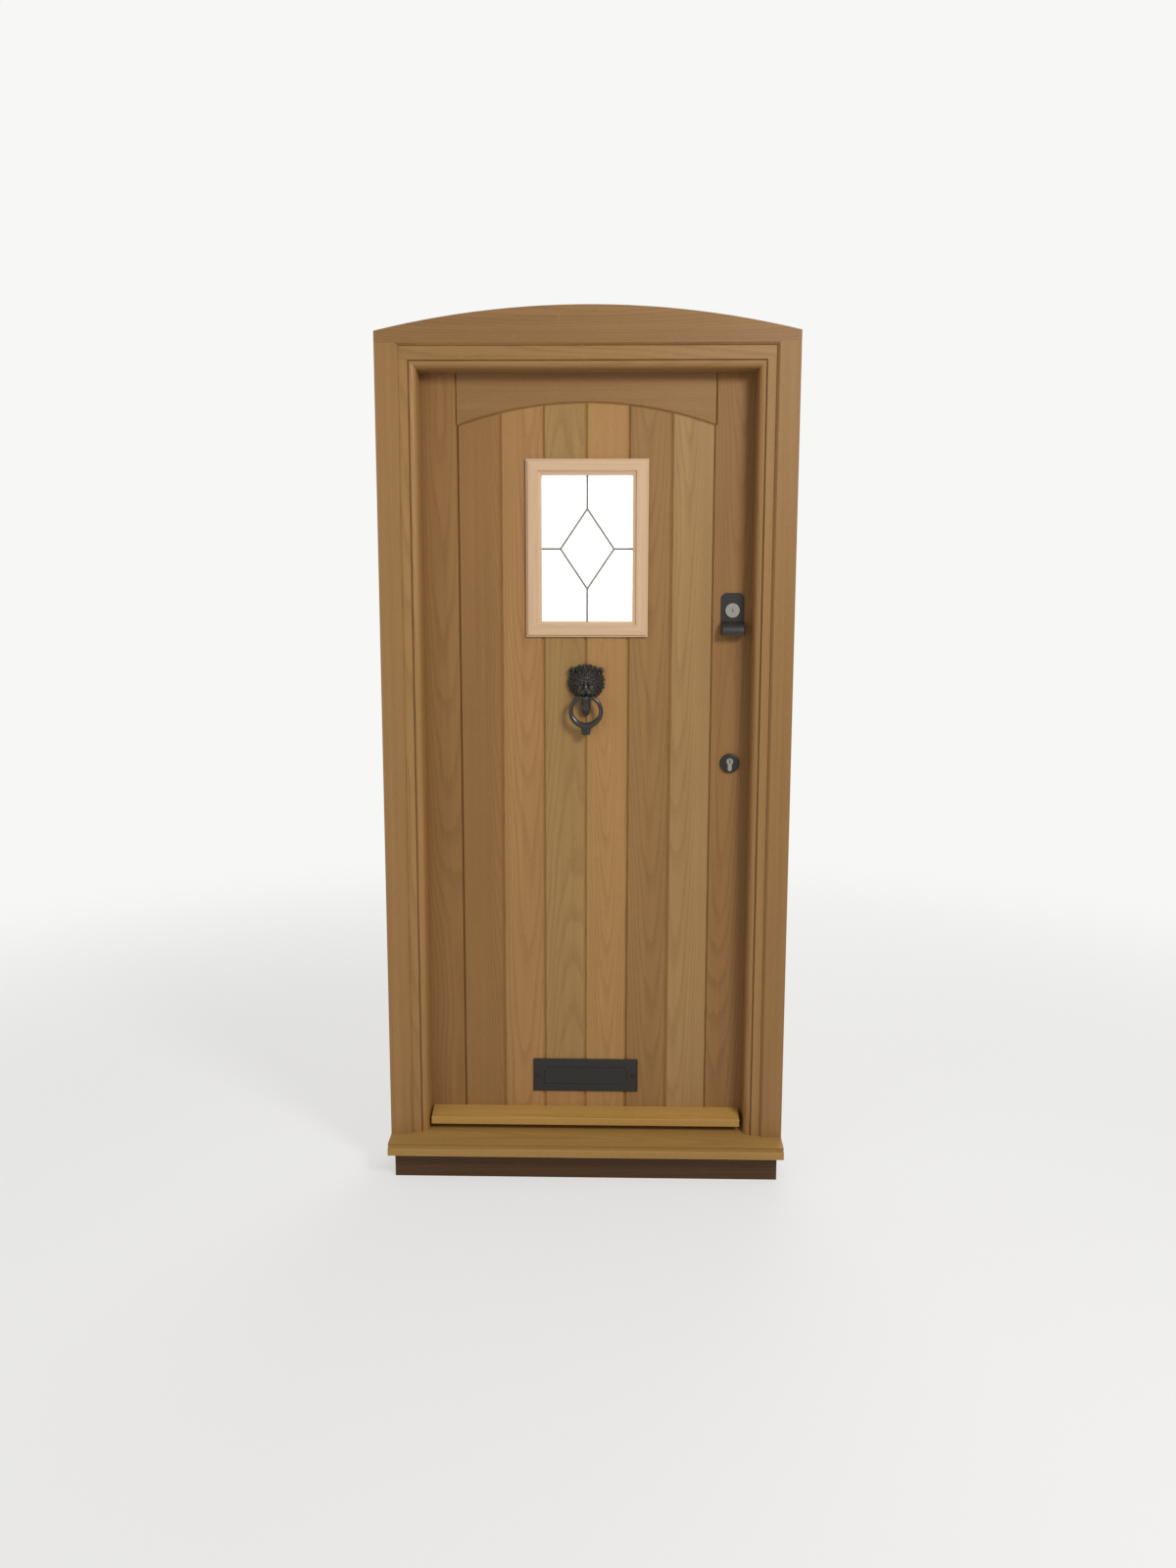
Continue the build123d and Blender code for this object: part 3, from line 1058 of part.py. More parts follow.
def latch_keep(bolt_y, bolt_z):
    """Box on the frame's inner face that takes the latch bolt, with a flange screwed to the jamb."""
    x = (LEAF_EDGE_X + KEEP_GAP, LEAF_EDGE_X + KEEP_GAP + KEEP_LENGTH)
    y = (FRAME_DEPTH, bolt_y[1] + 2 + KEEP_WALL)
    z = (LATCH_Z - KEEP_HEIGHT / 2, LATCH_Z + KEEP_HEIGHT / 2)
    x = (REBATE_X, x[1])
    keep = box(x, y, z)
    keep = fillet(keep.edges().filter_by(Axis.X).group_by(Axis.Y)[-1], 3.0)
    pocket_x = (x[0], LEAF_EDGE_X + LATCH_THROW + 3)
    pocket = box(pocket_x, (FRAME_DEPTH + 1, bolt_y[1] + 1.5), (bolt_z[0] - 1.5, bolt_z[1] + 1.5))
    flange = box((x[1], x[1] + KEEP_FLANGE), (FRAME_DEPTH, FRAME_DEPTH + KEEP_WALL), z)
    keep = keep - pocket + flange
    screws, cuts = [], []
    for side in (-1, 1):
        screw, cut = wood_screw(
            (x[1] + KEEP_FLANGE / 2, FRAME_DEPTH + KEEP_WALL, LATCH_Z + side * KEEP_HEIGHT * 0.3), (0, -1, 0)
        )
        keep = keep - cut
        screws.append(screw)
        cuts.append(cut)
    return keep, screws, cuts


def strike_plate():
    """Plate let into the rebate, with a hole for the dead bolt and a pocket behind it in the jamb."""
    middle = LOCK_Z + DEAD_BOLT_RISE
    y = (LEAF_MID_Y - STRIKE_PLATE[1] / 2, LEAF_MID_Y + STRIKE_PLATE[1] / 2)
    z = (middle - STRIKE_PLATE[2] / 2, middle + STRIKE_PLATE[2] / 2)
    plate = box((REBATE_X, REBATE_X + STRIKE_PLATE[0]), y, z)
    recess = plate
    slack = 1.5
    spans = (
        (REBATE_X, REBATE_X + DEAD_THROW + STRIKE_POCKET_SPARE),
        (LEAF_MID_Y - DEAD_BOLT[1] / 2 - slack, LEAF_MID_Y + DEAD_BOLT[1] / 2 + slack),
        (middle - DEAD_BOLT[2] / 2 - slack, middle + DEAD_BOLT[2] / 2 + slack),
    )
    pocket = box(*spans)
    plate = plate - pocket
    screws, cuts = [], []
    for side in (-1, 1):
        screw, cut = wood_screw((REBATE_X, LEAF_MID_Y, middle + side * STRIKE_PLATE[2] * 0.38), (1, 0, 0))
        plate = plate - cut
        screws.append(screw)
        cuts.append(cut)
    return plate, screws, [recess, pocket] + cuts, spans


def cut_all(piece, cuts):
    for cut in cuts:
        piece = piece - cut
    return piece


def split_at_pocket(jamb, pocket_x, pocket_y, pocket_z):
    """The right jamb, one length of oak, as five solids that butt on the planes of the bolt's pocket.

    None of them bends round the pocket, so their collision pieces leave it open.
    """
    whole = (-FAR, FAR)
    spans = (
        (whole, whole, (-FAR, pocket_z[0])),
        (whole, (-FAR, pocket_y[0]), pocket_z),
        ((pocket_x[1], FAR), pocket_y, pocket_z),
        (whole, (pocket_y[1], FAR), pocket_z),
        (whole, whole, (pocket_z[1], FAR)),
    )
    return [jamb & box(*span) for span in spans]


os.makedirs("parts", exist_ok=True)

jamb, head, sill = frame_bodies()
strip, arch_board = planted_boards(sill)
grooves = seal_solids(RUNNING_CLEARANCE)
frame_leaves, door_leaves, pins, frame_screws, door_screws, frame_cuts, door_cuts = hinge_set()
latch = night_latch()
keep, keep_screws, keep_cuts = latch_keep(latch["bolt_y"], latch["bolt_z"])
strike, strike_screws, strike_cuts, strike_pocket = strike_plate()
lock = dead_lock()
plate, flap, slot = letter_parts()

write("jamb_left", cut_all(right_to_left(jamb), grooves + frame_cuts))
write("jamb_right", *split_at_pocket(cut_all(jamb, grooves + keep_cuts + strike_cuts), *strike_pocket))
write("frame_head", cut_all(head, grooves))
write("sill", cut_all(sill, grooves))
write("sill_riser", box(
    (-HALF_FRAME + RISER_INSET, HALF_FRAME - RISER_INSET), (-NOSE_PROJECTION + RISER_SETBACK, FRAME_DEPTH),
    (0, SILL_BED_Z),
))
write("arch_board", arch_board)
write("outer_strip_left", right_to_left(strip))
write("outer_strip_right", strip)
write("weather_seal", *seal_solids(0))
write("hinge_frame_leaves", *frame_leaves)
write("hinge_pins", *pins)
write("frame_screws", *frame_screws, *keep_screws, *strike_screws)
write("latch_keep", keep)
write("striking_plate", strike)

sheet = panel_sheet()
window_hole = box(
    (-GLASS_X - LINING_THICKNESS, GLASS_X + LINING_THICKNESS), (LEAF_FACE_Y, BOARD_BACK_Y),
    (WINDOW_Z - GLASS_Z - LINING_THICKNESS, WINDOW_Z + GLASS_Z + LINING_THICKNESS),
)
stud, stud_spike = striking_stud()
bolts, nuts = [], []
bolt, nut = through_bolt(
    KNOCKER_BOLT_RADIUS, KNOCKER_X, KNOCKER_Z, LEAF_FACE_Y - KNOCKER_BOLT_DEPTH, BOARD_BACK_Y
)
bolts.append(bolt)
nuts.append(nut)
for side in (-1, 1):
    bolt_x = LETTER_X + side * LETTER_BOLT_X
    face = LEAF_FACE_Y - LETTER_THICKNESS
    bolt, nut = through_bolt(LETTER_BOLT_RADIUS, bolt_x, LETTER_Z, face, LEAF_BACK_Y)
    dome = Pos(bolt_x, face, LETTER_Z) * Rot(90, 0, 0) * Pos(0, 0, BOLT_HEAD_HEIGHT / 2)
    bolts.append(bolt + dome * Cone(BOLT_HEAD_RADIUS, BOLT_HEAD_RADIUS * 0.6, BOLT_HEAD_HEIGHT))
    nuts.append(nut)
    plate = plate - bolt
board_cuts = [window_hole, slot, stud_spike, *bolts]
board_feet = []
for number in range(BOARD_COUNT):
    board = sheet & along_z(board_outline(number), 0, FAR)
    board = cut_all(board, board_cuts)
    lengths = sorted(board.solids(), key=lambda piece: -piece.center().Z)
    if len(lengths) == 1:
        write(f"board_{number + 1}", *lengths)
    else:
        write(f"board_{number + 1}_upper", lengths[0])
        write(f"board_{number + 1}_lower", lengths[1])
        board_feet.extend(lengths[2:])
write("board_feet", *board_feet)

tenon_y = (LEAF_MID_Y - RAIL_TENON_THICKNESS / 2, LEAF_MID_Y + RAIL_TENON_THICKNESS / 2)
back_tenon_y = (BOARD_BACK_Y, BOARD_BACK_Y + RAIL_TENON_THICKNESS)
top_tenons = rail_tenons(tenon_y, (SPRING_Z + RAIL_TENON_SHOULDER, LEAF_TOP_Z - RAIL_TENON_SHOULDER))
middle_rail, middle_tenons = rail_with_tenons(*MIDDLE_RAIL_Z, BOARD_BACK_Y, LEAF_BACK_Y, back_tenon_y)
bottom_rail, bottom_tenons = rail_with_tenons(
    LEAF_FOOT_Z, LEAF_FOOT_Z + BOTTOM_RAIL_HEIGHT, BOARD_BACK_Y, LEAF_BACK_Y, back_tenon_y
)
tenons = top_tenons + middle_tenons + bottom_tenons
write("top_rail", top_rail() + top_tenons[0] + top_tenons[1])
write("middle_rail", middle_rail + middle_tenons[0] + middle_tenons[1])
write("bottom_rail", cut_all(bottom_rail + bottom_tenons[0] + bottom_tenons[1], [slot, *bolts]))
write("stile_hinge", cut_all(stile(-LEAF_EDGE_X, BOARDS_LEFT, -1), tenons + door_cuts))
lock_stile = cut_all(stile(LEAF_EDGE_X, BOARDS_RIGHT, 1), tenons)
write("stile_lock", cut_all(lock_stile, [lock["recess"], lock["hole"], latch["hole"]]))
write("weatherboard", weatherboard())

outside, inside, lining, outer_pane, inner_pane, spacer = window_parts()
write("window_beads", *outside)
write("window_inside_beads", *inside)
write("window_lining", *lining)
write("glass_outer", outer_pane)
write("glass_inner", inner_pane)
write("glass_spacer", spacer)
write("lead_strips", lead_strips())

write("hinge_door_leaves", *door_leaves)
write("door_screws", *door_screws, *latch["screws"], lock["screw"])
write("door_bolts", *bolts)
write("door_nuts", *nuts)
write("knocker_head", lion_head())
write("knocker_stud", stud)
write("knocker_ring", knocker_ring())
write("letter_plate", plate)
write("letter_flap", flap)
write("cylinder_pull", cylinder_pull())
write("rim_cylinder", latch["cylinder"])
write("rim_cylinder_plug", latch["plug"])
write("latch_back_plate", latch["plate"])
write("latch_case", latch["case"])
write("latch_bolt", latch["bolt"])
write("latch_knob", latch["knob"])
write("latch_snib", latch["snib"])
write("lock_case", lock["case"])
write("dead_bolt", lock["bolt"])
write("profile_cylinder", lock["body"])
write("cylinder_plug", lock["plug"])
write("cylinder_cam", lock["cam"])
write("thumb_turn", lock["turn"])
write("escutcheons", escutcheon(True), escutcheon(False))
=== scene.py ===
import math

import bpy
import numpy as np
from mathutils import Matrix, Vector


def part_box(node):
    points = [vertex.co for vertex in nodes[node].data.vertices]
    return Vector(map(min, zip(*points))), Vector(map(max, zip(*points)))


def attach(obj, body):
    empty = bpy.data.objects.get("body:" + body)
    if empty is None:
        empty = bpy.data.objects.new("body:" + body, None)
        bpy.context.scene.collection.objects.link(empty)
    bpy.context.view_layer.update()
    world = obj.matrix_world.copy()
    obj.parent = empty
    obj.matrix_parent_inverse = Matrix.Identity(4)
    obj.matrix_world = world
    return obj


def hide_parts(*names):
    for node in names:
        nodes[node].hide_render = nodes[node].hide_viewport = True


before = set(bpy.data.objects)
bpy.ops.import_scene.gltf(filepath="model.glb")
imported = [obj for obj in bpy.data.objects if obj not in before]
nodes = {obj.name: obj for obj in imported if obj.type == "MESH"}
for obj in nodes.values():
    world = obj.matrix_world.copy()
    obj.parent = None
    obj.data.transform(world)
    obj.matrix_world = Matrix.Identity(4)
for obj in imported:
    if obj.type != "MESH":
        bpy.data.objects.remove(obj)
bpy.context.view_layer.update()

# View.
# The camera stands 2.9 m before the door and a little above the knocker, and is tilted down at it. Its
# place, turns and lens were solved from the door's own edges in the photograph.
PITCH, YAW, ROLL = math.radians(8.16), math.radians(-1.20), math.radians(0.11)
CAMERA_PLACE = (0.0649, -2.8894, 1.4341)
SENSOR_WIDTH, LENS = 36.0, 27.045
ahead = Vector((math.sin(YAW) * math.cos(PITCH), math.cos(YAW) * math.cos(PITCH), -math.sin(PITCH)))
level = Vector((math.cos(YAW), -math.sin(YAW), 0.0))
above = level.cross(ahead)
right = level * math.cos(ROLL) + above * math.sin(ROLL)
upward = above * math.cos(ROLL) - level * math.sin(ROLL)
camera_data = bpy.data.cameras.new("camera")
camera_data.sensor_width, camera_data.sensor_fit, camera_data.lens = SENSOR_WIDTH, "AUTO", LENS
camera = bpy.data.objects.new("camera", camera_data)
bpy.context.scene.collection.objects.link(camera)
turned_to_door = Matrix((right, upward, -ahead)).transposed().to_4x4()
camera.matrix_world = Matrix.Translation(CAMERA_PLACE) @ turned_to_door
bpy.context.scene.camera = camera
bpy.context.scene.view_settings.view_transform = "Standard"

# Floor and surround.
# A pale floor that keeps the door's shadow and fades into a pale surround further off. What the camera
# sees of both far off is one plain light tone, which puts no light on the door.
FLOOR_REACH = 9.0
PALE = (0.93, 0.93, 0.92)
FADE_NEAR, FADE_START, FADE_END = 0.58, 1.3, 4.2
SURROUND_LIGHT = 0.45


class Link:
    """One socket of a material's nodes. Sums, products and comparisons of links add Math nodes."""

    def __init__(self, tree, socket):
        self.tree, self.socket = tree, socket

    def node(self, kind, settings, inputs, output=0):
        """Adds any node: its settings first, then its sockets' values or links."""
        made = self.tree.nodes.new("ShaderNode" + kind)
        for name, value in settings.items():
            if name == "stops":
                ramp = made.color_ramp
                while len(ramp.elements) < len(value):
                    ramp.elements.new(0.5)
                for element, (position, shade) in zip(ramp.elements, value):
                    element.position, element.color = position, (shade, shade, shade, 1.0)
            else:
                setattr(made, name, value)
        for name, value in inputs.items():
            join(self.tree, made.inputs[name], value)
        return Link(self.tree, made.outputs[output])

    def maths(self, operation, *others):
        return self.node("Math", {"operation": operation}, dict(enumerate((self, *others))))

    def __add__(self, other):
        return self.maths("ADD", other)

    def __sub__(self, other):
        return self.maths("SUBTRACT", other)

    def __rsub__(self, other):
        return self * -1.0 + other

    def __mul__(self, other):
        return self.maths("MULTIPLY", other)

    def __truediv__(self, other):
        return self.maths("DIVIDE", other)

    def __pow__(self, other):
        return self.maths("POWER", other)

    def __gt__(self, other):
        return self.maths("GREATER_THAN", other)

    __radd__ = __add__
    __rmul__ = __mul__

    def rise(self, low, high):
        """0 where this link is below low, 1 above high, and smooth between."""
        limits = {"Value": self, "From Min": low, "From Max": high}
        return self.node("MapRange", {"interpolation_type": "SMOOTHSTEP"}, limits)

    def mix(self, first, second):
        """First colour where this link is 0, second where it is 1."""
        return self.node("Mix", {"data_type": "RGBA"}, {"Factor": self, 6: first, 7: second}, 2)


def join(tree, socket, value):
    """Puts a link or a plain value on a socket; a colour gets its alpha."""
    if isinstance(value, Link):
        tree.links.new(value.socket, socket)
    elif isinstance(value, tuple) and len(value) == 3 and len(socket.default_value) == 4:
        socket.default_value = (*value, 1.0)
    else:
        socket.default_value = value


def finish_of(name, **sockets):
    """A new material, the point on the object as a link, and a call that sets its shader's sockets."""
    material = bpy.data.materials.new(name)
    material.use_nodes = True
    tree = material.node_tree
    shader = tree.nodes["Principled BSDF"]

    def put(**values):
        for socket, value in values.items():
            join(tree, shader.inputs[socket.replace("_", " ")], value)

    put(**sockets)
    return material, Link(tree, tree.nodes.new("ShaderNodeTexCoord").outputs["Object"]), put


def mesh_piece(name, points, faces, smooth=True):
    """Mesh object from points and faces, linked to the scene."""
    mesh = bpy.data.meshes.new(name)
    mesh.from_pydata(points.tolist(), [], faces)
    mesh.polygons.foreach_set("use_smooth", np.full(len(mesh.polygons), smooth))
    mesh.update()
    piece = bpy.data.objects.new(name, mesh)
    bpy.context.scene.collection.objects.link(piece)
    return piece


def seen_directly(link):
    """1 for the rays that the camera sends out, also through glass, and 0 for the rest."""
    kinds = ("Is Camera Ray", "Is Transmission Ray")
    camera_ray, through_ray = (link.node("LightPath", {}, {}, kind) for kind in kinds)
    return camera_ray.maths("MAXIMUM", through_ray)


corners = np.array([(-1, -1, 0), (1, -1, 0), (1, 1, 0), (-1, 1, 0)]) * FLOOR_REACH
floor = mesh_piece("floor", corners, [(0, 1, 2, 3)])
floor_paint, point, put = finish_of("floor_paint", Base_Color=(0.80, 0.79, 0.78), Roughness=0.9)
distance = point.node("VectorMath", {"operation": "LENGTH"}, {0: point}, "Value")
fade = FADE_NEAR + distance.rise(FADE_START, FADE_END) * (1.0 - FADE_NEAR)
glow = point.node("Emission", {}, {"Color": PALE, "Strength": 1.0})
lit = Link(point.tree, point.tree.nodes["Principled BSDF"].outputs[0])
look = point.node("MixShader", {}, {0: seen_directly(point) * fade, 1: lit, 2: glow})
join(point.tree, point.tree.nodes["Material Output"].inputs["Surface"], look)
floor.data.materials.append(floor_paint)

world = bpy.data.worlds.new("surround")
world.use_nodes = True
bpy.context.scene.world = world
background = world.node_tree.nodes["Background"]
background.inputs["Color"].default_value = (*PALE, 1.0)
seen = seen_directly(Link(world.node_tree, background.outputs[0]))
join(world.node_tree, background.inputs["Strength"], seen * (1.0 - SURROUND_LIGHT) + SURROUND_LIGHT)

# Lamps.
# Three large soft discs, each with its place, its width in metres and its power in watts. The strongest
# stands at the upper right, where the light on the real door comes from.
LAMPS = (
    ("key_lamp", (1.9, -2.6, 3.0), 1.0, 74.0),
    ("fill_lamp", (-2.3, -2.4, 1.6), 2.2, 15.0),
    ("back_lamp", (0.6, 2.6, 2.8), 2.2, 40.0),
)
LIT_PLACE = Vector((0.0, 0.05, 1.0))
for name, place, width, power in LAMPS:
    lamp_data = bpy.data.lights.new(name, "AREA")
    lamp_data.shape, lamp_data.size, lamp_data.energy = "DISK", width, power
    lamp = bpy.data.objects.new(name, lamp_data)
    lamp.location = place
    lamp.rotation_euler = (LIT_PLACE - Vector(place)).to_track_quat("-Z", "Y").to_euler()
    bpy.context.scene.collection.objects.link(lamp)

# Frame: jambs, head, arched board and raised strips.
# Planed English oak, oiled, with quirked ovolo mouldings and fixing holes through the jambs. Jambs and
# strips are grained upright, head and arched board across, and each comes from its own tree.
OAK_PALE, OAK_MID, OAK_DARK = (0.385, 0.216, 0.079), (0.285, 0.149, 0.049), (0.135, 0.065, 0.022)
RING_WIDTH, RING_BEND, RING_WAVER = 0.0042, 0.045, 0.55
EARLY_WOOD = ((0.0, 1.0), (0.16, 0.85), (0.42, 0.12), (0.9, 0.0), (1.0, 0.75))
PORE_SHARPNESS = 2.9
# Scales of the noises, a metre: across the face, into the piece, and along the grain
BEND, WAVER, BROAD, STREAK = (5.0, 5.0, 1.1), (60.0, 60.0, 4.0), (9.0, 9.0, 1.6), (70.0, 70.0, 0.9)
FIBRE, FLECK, PORES = (950.0, 950.0, 14.0), (260.0, 20.0, 42.0), (900.0, 900.0, 55.0)
# Coordinates across the face, into the piece and along the grain, for a piece grained along x or z
AXES = {"x": (1, 2, 0), "z": (0, 1, 2)}


def stretched(parts, scales, seed, detail=2.0, roughness=0.5):
    """Noise drawn out along the grain: each coordinate has its own scale, the seed picks the tree."""
    scaled = {number: part * scale for number, (part, scale) in enumerate(zip(parts, scales))}
    place = parts[0].node("CombineXYZ", {}, scaled)
    inputs = {"Vector": place, "W": seed, "Scale": 1.0, "Detail": detail, "Roughness": roughness}
    return place.node("TexNoise", {"noise_dimensions": "4D"}, inputs)


def tinted(tint):
    """The three oak colours under a tint."""
    return [tuple(c * t for c, t in zip(colour, tint)) for colour in (OAK_PALE, OAK_MID, OAK_DARK)]


def oak(name, along, heart, lean, seed, tint=(1.0, 1.0, 1.0)):
    """Oiled oak. Rings are the distance from a leaning heart line, bent by slow noise. Pores are short
    dark dashes in each ring's early wood, rays are pale flecks, and fibres lie along the grain."""
    material, point, put = finish_of(name, Specular_IOR_Level=0.35)
    parts = [point.node("SeparateXYZ", {}, {0: point}, axis) for axis in AXES[along]]
    across, deep, length = parts
    bent = (stretched(parts, BEND, seed) - 0.5) * RING_BEND
    side = across - heart[0] + length * lean[0] + bent
    depth = deep - heart[1] + length * lean[1] + bent * 0.7
    radius = (side * side + depth * depth) ** 0.5
    rings = radius / RING_WIDTH + (stretched(parts, WAVER, seed + 3.0, 3.0) - 0.5) * RING_WAVER
    early = point.node("ValToRGB", {"stops": EARLY_WOOD}, {0: rings.maths("FRACT")})
    fibre = stretched(parts, FIBRE, seed + 7.0, 3.0, 0.6)
    cells = {0: across * PORES[0], 1: deep * PORES[1], 2: length * PORES[2] + seed}
    cells = point.node("CombineXYZ", {}, cells)
    pore = point.node("TexVoronoi", {"feature": "F1"}, {"Vector": cells, "Scale": 1.0})
    dash = (1.0 - pore * PORE_SHARPNESS).maths("MAXIMUM", 0.0) * (early * 0.8 + 0.2)
    fleck = stretched(parts, FLECK, seed + 11.0, 1.0).rise(0.64, 0.72)
    broad = stretched(parts, BROAD, seed + 17.0, 3.0)
    streak = stretched(parts, STREAK, seed + 23.0, 2.0)
    pale, mid, dark = tinted(tint)
    colour = (early * 0.42 + (fibre - 0.5) * 0.6 + (streak - 0.5) * 1.1 + 0.16).mix(pale, mid)
    colour = ((broad - 0.42) * 1.3).mix(colour, mid)
    colour = (fleck * 0.35).mix(colour, pale)
    colour = (dash * 0.8).mix(colour, dark)
    height = fibre * 0.35 - dash * 0.9 - early * 0.25
    bump = point.node("Bump", {}, {"Strength": 0.4, "Distance": 0.0006, "Height": height})
    put(Base_Color=colour, Roughness=0.44 + dash * 0.25 + early * 0.08, Normal=bump)
    return material


def dress(material, *names):
    """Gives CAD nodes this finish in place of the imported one."""
    for name in names:
        slots = nodes[name].data.materials
        slots.clear()
        slots.append(material)


dress(oak("oak_jamb_left", "z", (-0.40, 0.19), (0.012, 0.02), 1.0, (1.00, 0.96, 0.88)), "jamb_left")
# The right jamb's darker tint is painted shade from the wall beside it.
dress(oak("oak_jamb_right_painted_shade", "z", (0.55, 0.16), (-0.01, 0.025), 2.0, (0.90, 0.86, 0.80)), "jamb_right")
dress(oak("oak_head", "x", (0.21, 2.09), (0.02, 0.015), 3.0, (0.90, 0.87, 0.84)), "frame_head")
# The arched board's darker tint is painted shade: the brick arch above shades it.
dress(oak("oak_arch_board_painted_shade", "x", (0.12, 2.20), (0.03, -0.03), 4.0, (0.78, 0.74, 0.74)), "arch_board")
strip_left = oak("oak_strip_left", "z", (-0.56, 0.06), (0.0, 0.01), 5.0, (0.94, 0.90, 0.84))
# The right strip's darker tint is painted shade from the wall's edge beside it.
strip_right = oak("oak_strip_right_painted_shade", "z", (0.40, 0.05), (0.02, 0.0), 6.0, (0.84, 0.80, 0.74))
dress(strip_left, "outer_strip_left")
dress(strip_right, "outer_strip_right")

# Sill and the board below it.
# A sloping oak sill with a long nose and a quirk along its front. It is a golden, cleaner piece of oak
# than the frame; the recessed board below it is coloured dark as painted shade under the sill's nose.
dress(oak("oak_sill", "x", (-0.02, 0.03), (0.02, 0.01), 8.0, (1.10, 1.13, 0.90)), "sill")
dress(oak("oak_riser_painted_shade", "x", (0.10, -0.03), (0.02, 0.02), 9.0, (0.24, 0.20, 0.16)), "sill_riser")

# Leaf: stiles, arched top rail and inner rails.
# Framed and ledged leaf, 44 mm oak, tenoned at every corner. The stiles run full height; the rails are
# grained across, the top one cut to an arch over the boards.
dress(oak("oak_stile_hinge", "z", (-0.32, 0.19), (0.02, 0.015), 11.0, (0.82, 0.73, 0.62)), "stile_hinge")
dress(oak("oak_stile_lock", "z", (0.33, 0.16), (-0.02, 0.02), 12.0, (0.78, 0.70, 0.60)), "stile_lock")
# The top rail's darker tint is painted shade: the frame head's shadow falls on it.
dress(oak("oak_top_rail_painted_shade", "x", (0.16, 1.84), (0.02, 0.03), 13.0, (0.80, 0.76, 0.74)), "top_rail")
dress(oak("oak_middle_rail", "x", (0.16, 0.80), (0.02, 0.03), 14.0), "middle_rail")
dress(oak("oak_bottom_rail", "x", (0.16, 0.10), (0.01, 0.02), 15.0), "bottom_rail")

# Boards: six V-jointed oak boards, two of them in lengths above and below the window, with short feet
# below the letter plate. Each is tongued into the next. They were chosen at random, so they differ: some
# are pinker, and the third from the left is pale and greenish.
BOARDS = (
    (("board_1",), (-0.20, 0.14), (0.012, 0.03), (0.82, 0.74, 0.64)),
    (("board_2",), (-0.16, 0.17), (-0.01, 0.02), (1.06, 1.01, 0.96)),
    (("board_3_upper", "board_3_lower"), (-0.03, 0.20), (0.01, -0.03), (0.95, 1.00, 0.94)),
    (("board_4_upper", "board_4_lower"), (0.06, 0.13), (0.014, 0.035), (1.12, 1.09, 1.02)),
    (("board_5",), (0.17, 0.18), (0.01, 0.025), (0.84, 0.80, 0.73)),
    (("board_6",), (0.22, 0.15), (-0.012, 0.02), (0.98, 1.02, 1.05)),
)
BOARD_SEED = 20.0
for number, (names, heart, lean, tint) in enumerate(BOARDS):
    dress(oak(f"oak_board_{number + 1}", "z", heart, lean, BOARD_SEED + number, tint), *names)
feet = oak("oak_board_feet", "z", (0.06, 0.13), (0.014, 0.035), BOARD_SEED + 3, (1.08, 1.02, 0.94))
dress(feet, "board_feet")

# Weatherboard: shaped oak drip across the foot of the leaf.
# A pale, straight-grained length, screwed on, with a groove below that makes the rain drip clear.
drip = oak("oak_weatherboard", "x", (0.02, 0.10), (0.01, 0.008), 31.0, (1.32, 1.38, 1.00))
dress(drip, "weatherboard")

# Window: mitred beads, leaded obscure glass, spacer and lining.
# A small double-glazed light. Pale oak beads, tinted paler still as painted light for the lit window's
# glare, are mitred at the corners outside; lead strips make one diamond and a cross on the outer pane;
# both panes are satin obscure glass with a faint painted glow for the lit room behind.
WINDOW_CENTRE = (-0.002, 1.5955)
MITRE_OFFSET = 0.065
BEAD_FIBRE, BEAD_STREAK = (420.0, 420.0, 9.0), (110.0, 110.0, 2.0)


def mitred_oak(name, tint, seed):
    """Oak whose grain follows each side of the window: upright where the point's distance beside the
    middle, less its distance over it, is beyond the mitre's."""
    material, point, put = finish_of(name, Roughness=0.5)
    x, y, z = (point.node("SeparateXYZ", {}, {0: point}, axis) for axis in (0, 1, 2))
    beside, over = x - WINDOW_CENTRE[0], z - WINDOW_CENTRE[1]
    upright = (beside.maths("ABSOLUTE") - over.maths("ABSOLUTE") + MITRE_OFFSET) > 0.0
    across = upright * x + (1 - upright) * z
    length = upright * z + (1 - upright) * x
    parts, tree_seed = (across, y, length), seed + upright * 2.0
    fibre = stretched(parts, BEAD_FIBRE, tree_seed, 4.0)
    streak = stretched(parts, BEAD_STREAK, tree_seed, 2.0)
    pale, mid, _ = tinted(tint)
    colour = (fibre - 0.3 + (streak - 0.5) * 0.8).mix(pale, mid)
    bump = point.node("Bump", {}, {"Strength": 0.3, "Distance": 0.0005, "Height": fibre})
    put(Base_Color=colour, Normal=bump)
    return material


# The beads' very pale tint is painted light: the glare of the lit window on them.
dress(mitred_oak("oak_beads_painted_glare", (1.70, 2.06, 3.45), 40.0), "window_beads")
dress(mitred_oak("oak_inside_beads", (1.05, 1.0, 0.95), 43.0), "window_inside_beads")
dress(mitred_oak("oak_lining", (1.0, 0.97, 0.92), 46.0), "window_lining")

obscure, point, put = finish_of("obscure_glass", Base_Color=(0.97, 0.96, 0.93), Roughness=0.34, IOR=1.5)
# The emission is a painted glow: it stands in for the lit room behind the door.
put(Transmission_Weight=0.60, Emission_Color=(1.0, 0.97, 0.92), Emission_Strength=0.35)
ripple = point.node("TexNoise", {}, {"Vector": point, "Scale": 160.0, "Detail": 2.0})
put(Normal=point.node("Bump", {}, {"Strength": 0.35, "Distance": 0.0008, "Height": ripple}))
dress(obscure, "glass_inner", "glass_outer")
spacer, point, put = finish_of("spacer_alloy", Base_Color=(0.62, 0.63, 0.64), Metallic=1.0)
grain = point.node("TexNoise", {}, {"Vector": point, "Scale": 900.0, "Detail": 2.0})
put(Roughness=grain * 0.2 + 0.3)
dress(spacer, "glass_spacer")
lead, point, put = finish_of("lead", Metallic=0.6)
bloom = point.node("TexNoise", {}, {"Vector": point, "Scale": 220.0, "Detail": 4.0})
